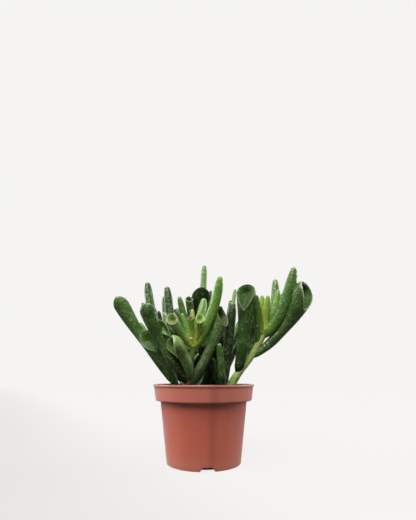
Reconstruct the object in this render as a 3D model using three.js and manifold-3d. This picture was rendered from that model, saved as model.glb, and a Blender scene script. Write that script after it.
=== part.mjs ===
// A potted trumpet jade: seven leafy cuttings rooted in a plastic nursery pot.
// Millimetres, +Z up. The origin is the middle of the pot's underside, on the surface it stands on.
// The leaves are the real plant's: fingers with closed tips, small tubes, and trumpets and
// spoons whose mouths are cut on a slant and dished.

import * as THREE from 'three';
import { mergeVertices } from 'three/addons/utils/BufferGeometryUtils.js';
import Module from 'manifold-3d';

const wasm = await Module();
wasm.setup();

// Driving dimensions
const POT_HEIGHT = 70;
const LIP_RADIUS = 45;
const LIP_HEIGHT = 1.8;
const LIP_REACH = 0.7;
const BAND_HEIGHT = 14.4;
const BAND_TAPER = 1.3;
const WALL_TOP_RADIUS = 38.6;
const FOOT_RADIUS = 33.4;
const WALL = 1.2;
const POT_SIDES = 48;
const NOTCH_COUNT = 4;
const NOTCH_FIRST_ANGLE = -84.4;
const NOTCH_FOOT_WIDTH = 12.6;
const NOTCH_TOP_WIDTH = 7.4;
const NOTCH_HEIGHT = 3.4;
const NOTCH_INNER_RADIUS = 23;
const DRAIN_RADIUS = 2.5;
const SOIL_TOP = 60;
const SOIL_ROUGHNESS = 0.5;
const GAP = 0.3;

const POT_COLOUR = '#9a5242';
const SOIL_COLOUR = '#33261d';
const LEAF_COLOUR = '#3f6a2d';

// How each form of leaf differs. thick is thickness over width, slant is the length of the
// mouth's slope over the head's width, dish is its depth over that width, vee draws the lower
// lip to a point, flare is where the head starts to widen, hood closes the head again towards
// its tip, and wrap above 1 draws the sides round the mouth.
const FORMS = {
  finger: { thick: 0.8, slant: 0.1, dish: -0.25, vee: 0, flare: 0.62, hood: 0, wrap: 1 },
  blade: { thick: 0.62, slant: 0.3, dish: -0.03, vee: 0, flare: 0.6, hood: 0, wrap: 1 },
  tube: { thick: 0.95, slant: 0.35, dish: 0.4, vee: 0, flare: 0.6, hood: 0, wrap: 1 },
  trumpet: { thick: 0.95, slant: 0.7, dish: 0.35, vee: 0, flare: 0.6, hood: 0, wrap: 1 },
  spoon: { thick: 0.62, slant: 1.55, dish: 0.16, vee: 0.45, flare: 0.42, hood: 0.38, wrap: 1 },
  scoop: { thick: 0.9, slant: 1.3, dish: 0.38, vee: 0.08, flare: 0.45, hood: 0.38, wrap: 1 },
};

// Each cutting: its route from 8 mm under the soil to its growing tip, the stem's radii along
// it, and its leaves. A leaf grows from the place `at` along the route (0 to 1) to its tip.
// bow pushes the middle of its spine aside, face is the compass angle its mouth looks to
// (0 is +X, -90 is the front), and wide gives its width at the stalk, the middle and the head.
const CUTTINGS = [
  {
    name: 'leafy_stem_left',
    route: [[-22, -5, 52], [-24.2, -5, 66], [-27.2, -3, 77], [-31, 0, 90]],
    radii: [3.4, 3.3, 2.9, 2.3],
    leaves: [
      {
        form: 'spoon', at: 0.3, tip: [-52.6, -18, 114.8], bow: [4.6, 0, -1], face: -100,
        wide: [7, 7, 16], slant: 1.15,
      },
      {
        form: 'spoon', at: 0.45, tip: [-78.3, 0, 148.4], bow: [0.4, 2, -4.5], face: 95,
        wide: [6.4, 6.8, 14.6],
      },
      { form: 'finger', at: 0.8, tip: [-58, 2, 126], bow: [-1, 0, 1], face: -90, wide: [4, 4.2, 1] },
      { form: 'finger', at: 0.9, tip: [-57, 8, 145.2], bow: [0, 0, 0], face: -90, wide: [4, 4.2, 1.5] },
      { form: 'finger', at: 0.85, tip: [-52.4, 10, 164.6], bow: [-4, 0, 0], face: -60, wide: [6.5, 9, 2.5] },
      { form: 'spoon', at: 0.5, tip: [-34, 5, 112], bow: [-1, 2, 0], face: -80, wide: [6, 7, 11] },
      { form: 'blade', at: 0.95, tip: [-35.2, 16, 163], bow: [1.6, 2, 0], face: -90, wide: [6, 8.6, 2] },
      { form: 'finger', at: 1, tip: [-38, 18, 153.5], bow: [-0.5, 2, 0], face: -90, wide: [5, 6, 2] },
      { form: 'finger', at: 0.95, tip: [-41.2, 4, 137], bow: [0, 0, 0], face: -90, wide: [3, 3.8, 1.2] },
    ],
  },
  {
    name: 'leafy_stem_front',
    route: [[-14, -21, 52], [-11.5, -21.5, 70], [-11, -21.5, 86], [-8.5, -20, 103]],
    radii: [3.8, 3.4, 3, 2.6],
    leaves: [
      {
        form: 'scoop', at: 0.34, tip: [-46.9, -29, 135.8], bow: [-4, 0, -1], face: 88,
        wide: [7.6, 9, 14], slant: 1.1,
      },
      {
        form: 'scoop', at: 0.3, tip: [18, -18, 136.2], bow: [3, 0, -1], face: -42,
        wide: [8, 9, 16], slant: 1.1, hood: 0.5,
      },
      {
        form: 'scoop', at: 0.4, tip: [-27, -38, 103.5], bow: [3.7, -0.5, 3.9], face: -152,
        wide: [6.5, 10, 19], slant: 0.9, flare: 0.5, hood: 0.35, wrap: 4,
      },
      { form: 'finger', at: 0.46, tip: [-28, -25, 101], bow: [0, 0, 0], face: -90, wide: [6, 7, 2] },
      {
        form: 'trumpet', at: 0.95, tip: [-27.8, -34, 126], bow: [1, 0, -2], face: -90,
        wide: [5.4, 6.6, 9.8], slant: 0.7, flare: 0.5,
      },
      { form: 'spoon', at: 0.93, tip: [-38.5, -31, 122], bow: [1, 0, -4], face: -105, wide: [4.5, 6, 8.6] },
      { form: 'finger', at: 0.95, tip: [-35, -12, 132], bow: [0, 0, 0], face: -90, wide: [3, 3.2, 1.2] },
      { form: 'scoop', at: 1, tip: [-12.3, -26, 112], bow: [0, -1, 0], face: -60, wide: [3, 3.4, 4] },
      {
        form: 'tube', at: 1, tip: [-10.8, -28, 126.2], bow: [0, -1, 0], face: -90,
        wide: [6, 5, 5.6], slant: 0.6,
      },
      { form: 'finger', at: 1, tip: [-9.6, -16, 134], bow: [0, 0, 0], face: -90, wide: [3.6, 4.2, 1.4] },
      { form: 'finger', at: 1, tip: [-18.5, -16, 130.6], bow: [0, 0, 0], face: -90, wide: [4, 4.6, 1.4] },
      {
        form: 'trumpet', at: 1, tip: [-2.7, -32, 126.8], bow: [1, 0, -2], face: -90,
        wide: [3.6, 3.8, 7.4], slant: 0.8, flare: 0.45,
      },
      {
        form: 'finger', at: 0.97, tip: [13.6, -26, 158.8], bow: [3.6, 0, -3], face: -100,
        wide: [8, 8.6, 2.6],
      },
      { form: 'finger', at: 1, tip: [0.4, -8, 145], bow: [0.8, 0, 0], face: -72, wide: [5, 8.4, 3] },
      { form: 'finger', at: 0.7, tip: [-4.2, -22, 95.6], bow: [0, 0, 0], face: -90, wide: [2.6, 2.8, 1] },
      { form: 'finger', at: 0.5, tip: [-16, -15, 113], bow: [0, 0, 0], face: -90, wide: [5.5, 6.5, 2] },
    ],
  },
  {
    name: 'leafy_stem_middle',
    route: [[14, -15, 52], [16.5, -15, 66], [18.5, -12, 80], [20, -6, 96]],
    radii: [3.4, 3.2, 2.7, 2.2],
    leaves: [
      { form: 'finger', at: 0.36, tip: [25.8, -9, 141], bow: [0, 0, 0], face: -90, wide: [7.5, 8.8, 2.5] },
      {
        form: 'scoop', at: 0.9, tip: [27.2, 8, 148], bow: [-1, 0, 0], face: -70,
        wide: [5, 6.6, 7.2], slant: 0.8,
      },
      { form: 'finger', at: 1, tip: [29.6, 12, 158.8], bow: [0, 0, 0], face: -90, wide: [3.4, 4, 1.2] },
      { form: 'spoon', at: 0.55, tip: [11.5, -4, 123], bow: [0, 0, 0], face: -90, wide: [6, 7, 10] },
      { form: 'finger', at: 0.35, tip: [12.9, -24, 104], bow: [0, 0, 0], face: -90, wide: [6, 6.4, 2] },
      { form: 'finger', at: 0.3, tip: [8.2, -17, 92], bow: [0, 0, 0], face: -90, wide: [4.4, 4.8, 1.5] },
      { form: 'finger', at: 0.36, tip: [3.5, -7, 98], bow: [0, 0, 0], face: -90, wide: [5.5, 6.5, 1.8] },
    ],
  },
  {
    name: 'leafy_stem_right',
    route: [[21.5, -5, 52], [22.8, -6, 66], [31.4, -8, 81], [41, -8, 93.5], [52, -8, 112.5]],
    radii: [4.2, 4, 3.3, 3, 2.9],
    leaves: [
      {
        form: 'spoon', at: 0.46, tip: [34.9, -24, 153.4], bow: [2.2, -1, 0], face: -112,
        wide: [8, 10.8, 16.8], slant: 1.3, hood: 0.6, wrap: 1.5,
      },
      { form: 'finger', at: 0.74, tip: [43.8, 0, 133.6], bow: [1, 0, 0], face: -90, wide: [4.5, 6, 1.5] },
      {
        form: 'scoop', at: 0.75, tip: [89.9, -12, 158], bow: [5.4, 3, -6], face: -43,
        wide: [6, 9.4, 23.5], slant: 0.93, flare: 0.38, hood: 0.7, wrap: 2.6,
      },
      { form: 'finger', at: 1, tip: [78.4, -12, 171.2], bow: [4, 0, -5], face: -80, wide: [10, 11.2, 2.5] },
      { form: 'finger', at: 1, tip: [44.2, -18, 146], bow: [-1.5, 0, 0], face: -90, wide: [6.5, 8, 2] },
      { form: 'finger', at: 1, tip: [51.2, -8, 148], bow: [0, 0, 0], face: -90, wide: [5, 6, 1.7] },
      { form: 'finger', at: 1, tip: [55.3, -14, 146.5], bow: [0, 0, 0], face: -90, wide: [6.5, 6.2, 1.6] },
      { form: 'finger', at: 0.9, tip: [46.6, -13, 121], bow: [0, 0, 0], face: -90, wide: [4, 4.6, 1.6] },
      { form: 'finger', at: 1, tip: [64.5, 0, 164.4], bow: [4, 0, -1], face: -90, wide: [6.5, 8, 1.8] },
      { form: 'finger', at: 1, tip: [66, -6, 153.5], bow: [2.5, 0, -1], face: -90, wide: [5, 6, 1.6] },
      { form: 'finger', at: 1, tip: [70.8, 4, 152.4], bow: [3, 0, -1], face: -90, wide: [3.5, 4, 1] },
      { form: 'finger', at: 1, tip: [59.6, -2, 143], bow: [0, 0, 0], face: -90, wide: [5.5, 6, 1.5] },
      { form: 'scoop', at: 1, tip: [60, 32, 141], bow: [0, 3, -2], face: 60, wide: [5, 6.5, 10] },
      { form: 'finger', at: 1, tip: [74, 20, 146], bow: [0, 2, -2], face: 90, wide: [4.5, 5.5, 1.5] },
      { form: 'finger', at: 0.7, tip: [49, 24, 124], bow: [0, 3, -2], face: 90, wide: [5, 6.5, 1.8] },
      { form: 'finger', at: 0.86, tip: [47.5, 0, 130], bow: [0, 0, 0], face: 90, wide: [4, 4.8, 1.5] },
    ],
  },
  {
    name: 'leafy_stem_back',
    route: [[-3, 8, 52], [-4, 9, 70], [-5, 11, 88], [-6, 13, 106]],
    radii: [3.6, 3.4, 3, 2.4],
    leaves: [
      { form: 'spoon', at: 0.75, tip: [-2, 14, 161.6], bow: [0, 5, 0], face: 95, wide: [8, 9, 20.5] },
      { form: 'finger', at: 1, tip: [0.8, 30, 187.6], bow: [1, 2, 0], face: -90, wide: [5, 6.8, 1.5] },
      { form: 'finger', at: 1, tip: [7, 16, 159], bow: [0, 0, 0], face: -90, wide: [3.6, 4.6, 1.4] },
      { form: 'spoon', at: 0.35, tip: [1.5, 3, 121], bow: [0, -1, 0], face: -90, wide: [7, 8, 11] },
      { form: 'finger', at: 0.38, tip: [-10, 0, 105], bow: [0, 0, 0], face: -90, wide: [6, 7, 2] },
      { form: 'spoon', at: 0.55, tip: [-17, 4, 119], bow: [0, 0, 0], face: -100, wide: [6, 7, 11] },
      { form: 'blade', at: 0.2, tip: [8.6, -2, 106], bow: [3, 0, -2], face: -90, wide: [9, 10, 2.5] },
      { form: 'finger', at: 0.25, tip: [8, 4, 124], bow: [2, 0, -2], face: -90, wide: [7, 9, 3] },
      { form: 'finger', at: 0.9, tip: [-22.8, 8, 151.2], bow: [-1.5, 0, 0], face: -90, wide: [5, 6.4, 1.6] },
      {
        form: 'scoop', at: 1, tip: [-13.8, 10, 152.2], bow: [-1, 0, 0], face: -80,
        wide: [5.5, 6.8, 7.4], slant: 0.8,
      },
      { form: 'tube', at: 1, tip: [-27.5, 24, 143.5], bow: [0, 0, 0], face: -60, wide: [5, 5.5, 6.5] },
    ],
  },
  {
    name: 'leafy_stem_rear_right',
    route: [[15, 20, 52], [17, 22, 68], [20, 26, 84], [22, 30, 100]],
    radii: [3.4, 3.2, 2.8, 2.3],
    leaves: [
      { form: 'scoop', at: 0.55, tip: [40, 44, 134], bow: [1, 1, -2], face: 40, wide: [6, 8, 12] },
      { form: 'spoon', at: 0.5, tip: [19, 64, 128], bow: [0, 3, -3], face: 80, wide: [6, 8, 13] },
      { form: 'finger', at: 0.3, tip: [25, 66, 106], bow: [0, 3, -2], face: 90, wide: [5, 6.5, 1.8] },
      { form: 'trumpet', at: 1, tip: [8, 46, 143], bow: [0, 0, 0], face: 100, wide: [5, 6, 8.4] },
      { form: 'finger', at: 1, tip: [28, 42, 140], bow: [0, 0, 0], face: 90, wide: [4.5, 5.5, 1.5] },
      { form: 'finger', at: 0.3, tip: [12, 62, 94], bow: [0, 2, -2], face: 90, wide: [5, 6, 1.8] },
      { form: 'tube', at: 1, tip: [19, 46, 136], bow: [0, 0, 0], face: 90, wide: [4, 4.6, 5.4] },
      { form: 'finger', at: 0.4, tip: [14, 10, 128], bow: [0, 0, 0], face: -90, wide: [8, 10, 3] },
      { form: 'finger', at: 0.3, tip: [0, 20, 104], bow: [-4, 0, -5], face: -90, wide: [7, 9, 2.5] },
      { form: 'finger', at: 1, tip: [36, 33, 131], bow: [0, 0, 0], face: 30, wide: [3.6, 4.4, 1.4] },
      { form: 'finger', at: 0.6, tip: [37, 20, 118], bow: [0, 0, -1], face: 0, wide: [5, 6.5, 1.8] },
    ],
  },
  {
    name: 'leafy_stem_rear_left',
    route: [[-16, 16, 52], [-18, 19, 68], [-21, 24, 84], [-23, 28, 100]],
    radii: [3.4, 3.2, 2.8, 2.3],
    leaves: [
      { form: 'finger', at: 0.35, tip: [-25, 12, 122], bow: [0, 0, 0], face: -90, wide: [6, 8, 2.4] },
      { form: 'scoop', at: 0.55, tip: [-47, 40, 134], bow: [-1, 1, -2], face: 140, wide: [6, 8, 12] },
      { form: 'spoon', at: 0.6, tip: [-24, 60, 138], bow: [0, 3, -3], face: 100, wide: [6, 8, 13.5] },
      { form: 'finger', at: 0.4, tip: [-60, 32, 117], bow: [-1, 1, -2], face: 120, wide: [5, 7, 1.8] },
      { form: 'finger', at: 0.3, tip: [-38, 60, 106], bow: [0, 3, -2], face: 110, wide: [5, 6.5, 1.8] },
      { form: 'trumpet', at: 1, tip: [-12, 50, 138], bow: [0, 0, 0], face: 80, wide: [5, 5.6, 8] },
      { form: 'finger', at: 1, tip: [-30, 44, 142], bow: [0, 0, 0], face: 90, wide: [4.5, 5.5, 1.5] },
      { form: 'finger', at: 0.7, tip: [-44, 12, 122], bow: [-1, 0, -1], face: 180, wide: [4.6, 6, 1.8] },
      { form: 'finger', at: 1, tip: [-20, 34, 147], bow: [0, 0, 0], face: 90, wide: [3.6, 4.4, 1.4] },
      { form: 'finger', at: 0.28, tip: [-13, 58, 98], bow: [0, 3, -2], face: 90, wide: [5, 6, 1.8] },
    ],
  },
];

// How finely the leaves are divided: a leaf under SMALL_LEAF mm across takes the small counts
const SMALL_LEAF = 6;
const LARGE_GRID = { sides: 8, rows: 6 };
const SMALL_GRID = { sides: 6, rows: 4 };
const STEM_GRID = { sides: 8, rows: 7 };
const ROW_CROWDING = 1.6;
const STALK_ROUNDNESS = 0.9;
const STALK_PINCH = { width: 0.62, reach: 0.1 };
const MIDDLE_REACH = 0.35;
const TIP_REACH = 1.5;
const TIP_TAPER = { loss: 0.14, from: 0.45 };
const HOOD_REACH = 0.5;

const smooth = (from, to, x) => THREE.MathUtils.smoothstep(x, from, to);
const roundOff = (u) => Math.sqrt(1 - THREE.MathUtils.clamp(u, 0, 1) ** 2);

// A solid from a geometry, with its shared corners merged
function solidFrom(geometry) {
  geometry.deleteAttribute('normal');
  geometry.deleteAttribute('uv');
  const merged = mergeVertices(geometry, 1e-4);
  const vertProperties = new Float32Array(merged.attributes.position.array);
  const triVerts = new Uint32Array(merged.index.array);
  return new wasm.Manifold(new wasm.Mesh({ numProp: 3, vertProperties, triVerts }));
}

// The body of a solid as a geometry: sealed hollows are filled and loose scraps dropped
function geometryFrom(solid) {
  const bodies = solid.decompose().sort((a, b) => b.volume() - a.volume());
  const mesh = bodies[0].getMesh();
  const geometry = new THREE.BufferGeometry();
  geometry.setAttribute('position', new THREE.BufferAttribute(new Float32Array(mesh.vertProperties), 3));
  geometry.setIndex(new THREE.BufferAttribute(new Uint32Array(mesh.triVerts), 1));
  geometry.computeVertexNormals();
  return geometry;
}

// A closed skin over rings of points, from a first pole through the rings to a last pole
function skin(first, rings, last) {
  const sides = rings[0].length;
  const points = [first, ...rings.flat(), last];
  const lastIndex = points.length - 1;
  const corner = (ring, side) => 1 + ring * sides + (side % sides);
  const index = [];
  for (let side = 0; side < sides; side += 1) {
    index.push(0, corner(0, side + 1), corner(0, side));
    for (let ring = 0; ring < rings.length - 1; ring += 1) {
      const [a, b] = [corner(ring, side), corner(ring, side + 1)];
      const [c, d] = [corner(ring + 1, side + 1), corner(ring + 1, side)];
      index.push(a, b, c, a, c, d);
    }
    index.push(lastIndex, corner(rings.length - 1, side), corner(rings.length - 1, side + 1));
  }
  const geometry = new THREE.BufferGeometry().setFromPoints(points);
  geometry.setIndex(index);
  return geometry;
}

// The point of an oval ring round a centre: sin along `across`, cos along `front`
function ovalPoint(centre, across, front, halfWidth, halfThickness, angle) {
  return centre.clone()
    .addScaledVector(across, halfWidth * Math.sin(angle))
    .addScaledVector(front, halfThickness * Math.cos(angle));
}

// The round stem of a cutting, grown by `grow` all over
function stemGeometry(route, radii, grow) {
  const rings = [];
  for (let row = 0; row <= STEM_GRID.rows; row += 1) {
    const u = row / STEM_GRID.rows;
    const place = u * (radii.length - 1);
    const below = Math.min(Math.floor(place), radii.length - 2);
    const radius = THREE.MathUtils.lerp(radii[below], radii[below + 1], place - below) + grow;
    const along = route.getTangent(u);
    const front = new THREE.Vector3(0, -1, 0);
    front.addScaledVector(along, -front.dot(along)).normalize();
    const across = along.clone().cross(front);
    const centre = route.getPoint(u);
    if (row === 0) centre.addScaledVector(along, -grow);
    rings.push(Array.from({ length: STEM_GRID.sides }, (_, side) => (
      ovalPoint(centre, across, front, radius, radius, (2 * Math.PI * side) / STEM_GRID.sides))));
  }
  const foot = route.getPoint(0).addScaledVector(route.getTangent(0), -grow);
  const crown = route.getPoint(1).addScaledVector(route.getTangent(1), 0.6 * radii.at(-1));
  return skin(foot, rings, crown);
}

// Half the leaf's width at t along its spine: a pinched stalk, the middle, then a head that
// either flares open, its hood closing it partly again, or closes in an elliptic tip
function halfWidth(t, leaf, form, length) {
  const [stalk, middle, head] = leaf.wide.map((width) => width / 2);
  let half = THREE.MathUtils.lerp(stalk, middle, smooth(0, MIDDLE_REACH, t));
  half *= THREE.MathUtils.lerp(STALK_PINCH.width, 1, smooth(0, STALK_PINCH.reach, t));
  if (head >= middle) {
    const hooded = (HOOD_REACH * leaf.wide[2]) / length;
    half += (head - middle) * smooth(form.flare, 1, t);
    return half * THREE.MathUtils.lerp(1, roundOff((t - 1 + hooded) / hooded), form.hood);
  }
  const reach = (TIP_REACH * leaf.wide[1]) / length;
  half *= 1 - TIP_TAPER.loss * smooth(TIP_TAPER.from, 1, t);
  return half * THREE.MathUtils.lerp(head / middle, 1, roundOff((t - 1 + reach) / reach));
}

// One leaf: oval rings along a bowed spine, sheared towards the slanted rim of its mouth, then
// rings that sink from the rim into the dish
function leafGeometry(leaf, route) {
  const form = { ...FORMS[leaf.form], ...leaf };
  const { sides, rows } = leaf.wide[1] < SMALL_LEAF ? SMALL_GRID : LARGE_GRID;
  const base = route.getPoint(leaf.at);
  const tip = new THREE.Vector3(...leaf.tip);
  const control = base.clone().add(tip).multiplyScalar(0.5);
  control.addScaledVector(new THREE.Vector3(...leaf.bow), 2);
  const spine = new THREE.QuadraticBezierCurve3(base, control, tip);
  const length = spine.getLength();
  const compass = THREE.MathUtils.degToRad(leaf.face);
  const look = new THREE.Vector3(Math.cos(compass), Math.sin(compass), 0);
  const slope = (form.slant * Math.max(leaf.wide[2], 0.6 * leaf.wide[1])) / length;
  let lastAcross = null;

  const wallPoint = (r, angle) => {
    const oval = (1 + Math.cos(angle)) / 2;
    const pointed = 1 - Math.abs(Math.sin(angle / 2));
    const lip = THREE.MathUtils.lerp(oval, pointed, form.vee) ** form.wrap;
    const t = r - slope * lip * r * r;
    const along = spine.getTangent(t);
    const front = look.clone().addScaledVector(along, -look.dot(along)).normalize();
    const across = along.clone().cross(front);
    if (r === 1 && angle === 0) lastAcross = across;
    const half = halfWidth(t, leaf, form, length);
    const thick = THREE.MathUtils.lerp(form.thick, STALK_ROUNDNESS, 1 - smooth(0, 0.5, t));
    return ovalPoint(spine.getPoint(t), across, front, half, half * thick, angle);
  };
  const angles = Array.from({ length: sides }, (_, side) => (2 * Math.PI * side) / sides);
  const rings = [];
  for (let row = 0; row <= rows; row += 1) {
    const r = 1 - (1 - row / rows) ** ROW_CROWDING;
    rings.push(angles.map((angle) => wallPoint(r, angle)));
  }

  const rim = rings.at(-1);
  const centre = rim.reduce((sum, point) => sum.add(point), new THREE.Vector3()).divideScalar(sides);
  const lipToTip = rim[sides / 2].clone().sub(rim[0]);
  const outward = lastAcross.clone().cross(lipToTip).normalize();
  const depth = form.dish * leaf.wide[2];
  rings.push(rim.map((point) => point.clone().lerp(centre, 0.5).addScaledVector(outward, -depth / 2)));
  const start = base.clone().addScaledVector(spine.getTangent(0), -leaf.wide[0] / 4);
  return skin(start, rings, centre.clone().addScaledVector(outward, -depth));
}

// A cutting: its stem with every leaf fused to it
function cuttingGeometry(cutting) {
  const route = routeOf(cutting);
  let plant = solidFrom(stemGeometry(route, cutting.radii, 0));
  for (const leaf of cutting.leaves) {
    plant = plant.add(solidFrom(leafGeometry(leaf, route)));
  }
  return geometryFrom(plant);
}

function routeOf(cutting) {
  const points = cutting.route.map((point) => new THREE.Vector3(...point));
  return new THREE.CatmullRomCurve3(points, false, 'catmullrom', 0.5);
}

// A solid turned about Z from a profile of [radius, height] pairs
function turned(profile, sides) {
  const points = profile.map(([radius, height]) => new THREE.Vector2(radius, height));
  return new THREE.LatheGeometry(points, sides).rotateX(Math.PI / 2);
}

const stepHeight = POT_HEIGHT - BAND_HEIGHT;
const bandTop = LIP_RADIUS - LIP_REACH;
const bandFoot = bandTop - BAND_TAPER;
const innerFoot = FOOT_RADIUS - WALL;
const innerWallTop = WALL_TOP_RADIUS - WALL;
const innerBandFoot = bandFoot - WALL;
const innerBandTop = bandTop - WALL;

// The outline of the pot's outside, from the middle of the underside to the top of the lip
const outerProfile = [
  [0, 0],
  [FOOT_RADIUS - 0.5, 0],
  [FOOT_RADIUS, 0.5],
  [WALL_TOP_RADIUS, stepHeight - 0.4],
  [WALL_TOP_RADIUS + 0.4, stepHeight],
  [bandFoot - 1.2, stepHeight + 0.3],
  [bandFoot - 0.2, stepHeight + 1.1],
  [bandFoot, stepHeight + 2],
  [bandTop, POT_HEIGHT - LIP_HEIGHT],
  [LIP_RADIUS, POT_HEIGHT - LIP_HEIGHT + 0.2],
  [LIP_RADIUS, POT_HEIGHT - 0.3],
  [LIP_RADIUS - 0.4, POT_HEIGHT],
];

// The outline of its inside, from the lip down to the middle of the floor
const innerProfile = [
  [innerBandTop, POT_HEIGHT],
  [innerBandFoot, stepHeight + 2.2],
  [innerBandFoot - 1, stepHeight + 1.4],
  [innerWallTop, stepHeight + 1.1],
  [innerFoot, WALL + 0.4],
  [innerFoot - 0.4, WALL],
  [0, WALL],
];

// A prism of the drainage notch's outline, grown by `grow`, lying along a radius of the pot
function notchPrism(angle, innerRadius, outerRadius, grow, below) {
  const slope = (NOTCH_FOOT_WIDTH - NOTCH_TOP_WIDTH) / 2 / NOTCH_HEIGHT;
  const foot = NOTCH_FOOT_WIDTH / 2 + grow + slope * below;
  const top = NOTCH_TOP_WIDTH / 2 + grow;
  const outline = new THREE.Shape([
    new THREE.Vector2(-foot, -below),
    new THREE.Vector2(foot, -below),
    new THREE.Vector2(top, NOTCH_HEIGHT + grow),
    new THREE.Vector2(-top, NOTCH_HEIGHT + grow),
  ]);
  const prism = new THREE.ExtrudeGeometry(outline, { depth: outerRadius - innerRadius, bevelEnabled: false });
  prism.translate(0, 0, innerRadius);
  prism.rotateX(Math.PI / 2);
  prism.rotateZ(Math.PI / 2 + THREE.MathUtils.degToRad(angle));
  return solidFrom(prism);
}

const notchAngles = Array.from(
  { length: NOTCH_COUNT },
  (_, i) => NOTCH_FIRST_ANGLE + (360 / NOTCH_COUNT) * i);

// The pot: one moulded shell with a stepped rim, and drainage notches with a drain hole each
function potGeometry() {
  let pot = solidFrom(turned([...outerProfile, ...innerProfile], POT_SIDES));
  const filled = solidFrom(turned([...outerProfile, [0, POT_HEIGHT]], POT_SIDES));
  for (const angle of notchAngles) {
    const block = notchPrism(angle, NOTCH_INNER_RADIUS - WALL, FOOT_RADIUS + 1, WALL, 0);
    pot = pot.add(block.intersect(filled));
  }
  for (const angle of notchAngles) {
    pot = pot.subtract(notchPrism(angle, NOTCH_INNER_RADIUS, LIP_RADIUS, 0, 1));
    const drain = new THREE.CylinderGeometry(DRAIN_RADIUS, DRAIN_RADIUS, 3 * WALL, 12);
    const compass = THREE.MathUtils.degToRad(angle);
    const radius = (NOTCH_INNER_RADIUS + FOOT_RADIUS) / 2;
    drain.rotateX(Math.PI / 2);
    drain.translate(radius * Math.cos(compass), radius * Math.sin(compass), NOTCH_HEIGHT + WALL / 2);
    pot = pot.subtract(solidFrom(drain));
  }
  return geometryFrom(pot);
}

// The soil: it fills the pot to SOIL_TOP, its top slightly uneven, with a plain hole for each stem
function soilGeometry() {
  const bandRadius = (height) => THREE.MathUtils.mapLinear(
    height, stepHeight + 2.2, POT_HEIGHT, innerBandFoot, innerBandTop) - GAP;
  const topRings = [30, 20, 10].map((radius) => [radius, SOIL_TOP]);
  const profile = [
    [0, WALL + GAP],
    [innerFoot - 0.5 - GAP, WALL + GAP],
    [innerWallTop - GAP, stepHeight + 1.1 + GAP],
    [innerBandFoot - 1 - GAP, stepHeight + 1.4 + GAP],
    [bandRadius(stepHeight + 2.2), stepHeight + 2.2 + GAP],
    [bandRadius(SOIL_TOP), SOIL_TOP],
    ...topRings,
    [0, SOIL_TOP],
  ];
  const soil = turned(profile, POT_SIDES / 2);
  const place = soil.attributes.position;
  for (let i = 0; i < place.count; i += 1) {
    const [x, y, z] = [place.getX(i), place.getY(i), place.getZ(i)];
    const bumps = Math.sin(0.31 * x + 1) * Math.cos(0.27 * y) + 0.6 * Math.sin(0.5 * y + 0.4 * x);
    if (z > SOIL_TOP - 0.01) place.setZ(i, z + SOIL_ROUGHNESS * bumps);
  }
  let ground = solidFrom(soil);
  for (const angle of notchAngles) {
    ground = ground.subtract(notchPrism(angle, NOTCH_INNER_RADIUS - WALL - GAP, LIP_RADIUS, WALL + GAP, 0));
  }
  for (const cutting of CUTTINGS) {
    ground = ground.subtract(solidFrom(stemGeometry(routeOf(cutting), cutting.radii, GAP)));
  }
  return geometryFrom(ground);
}

function addMesh(group, name, geometry, colour, roughness) {
  const material = new THREE.MeshStandardMaterial({ color: colour, roughness, metalness: 0 });
  const mesh = new THREE.Mesh(geometry, material);
  mesh.name = name;
  group.add(mesh);
}

const plant = new THREE.Group();
addMesh(plant, 'pot', potGeometry(), POT_COLOUR, 0.45);
addMesh(plant, 'soil', soilGeometry(), SOIL_COLOUR, 0.95);
for (const cutting of CUTTINGS) {
  addMesh(plant, cutting.name, cuttingGeometry(cutting), LEAF_COLOUR, 0.4);
}

export default plant;
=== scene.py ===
"""A potted trumpet jade: seven leafy cuttings in a terracotta-coloured plastic nursery pot.

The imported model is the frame. Each class below is one sub-assembly: it works its surfaces out
with numpy from a few sizes in millimetres, makes them in metres in the frame's own axes, and
dresses them.
"""

import logging
import math
from collections.abc import Callable
from dataclasses import dataclass, replace
from enum import Enum
from functools import partial

import bpy
import numpy as np
from bpy.types import ID, Material, Node, NodeSocket, NodeTree, Object
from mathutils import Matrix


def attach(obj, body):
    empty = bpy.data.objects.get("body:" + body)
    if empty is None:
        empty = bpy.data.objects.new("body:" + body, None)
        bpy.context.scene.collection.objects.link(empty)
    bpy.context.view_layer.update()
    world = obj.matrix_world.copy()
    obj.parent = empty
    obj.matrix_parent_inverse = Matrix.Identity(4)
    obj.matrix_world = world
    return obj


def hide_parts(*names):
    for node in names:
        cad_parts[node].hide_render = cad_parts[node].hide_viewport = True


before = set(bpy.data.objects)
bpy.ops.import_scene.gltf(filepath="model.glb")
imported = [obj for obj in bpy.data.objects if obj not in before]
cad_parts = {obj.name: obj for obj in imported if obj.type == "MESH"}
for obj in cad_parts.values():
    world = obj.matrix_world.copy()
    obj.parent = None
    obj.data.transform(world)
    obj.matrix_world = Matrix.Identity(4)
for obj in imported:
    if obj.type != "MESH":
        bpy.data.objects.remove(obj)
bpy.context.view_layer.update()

log = logging.getLogger("trumpet_jade")

MM = 0.001
BODY = "root"
PATTERN_SPREAD = 400  # millimetres by which a leaf's pattern is moved at random
Array = np.ndarray
Triple = tuple[float, float, float]
Sockets = dict[int | str, object]


def smooth(start: float, stop: float, x: Array) -> Array:
    """Smooth step from 0 at start to 1 at stop: 3u^2 - 2u^3."""
    u = np.clip((x - start) / (stop - start), 0.0, 1.0)
    return u * u * (3.0 - 2.0 * u)


def mix(a: Array, b: Array, share: Array) -> Array:
    """Straight mix of a and b: a + (b - a) share."""
    return a + (b - a) * share


def fall(distance: Array, reach: float) -> Array:
    """Bell-shaped fall from 1: exp(-(distance / reach)^2)."""
    return np.exp(-((distance / reach) ** 2))


def round_off(u: Array) -> Array:
    """Quarter ellipse: 1 at u = 0, falling to 0 at u = 1."""
    return np.sqrt(1.0 - np.clip(u, 0.0, 1.0) ** 2)


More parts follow.
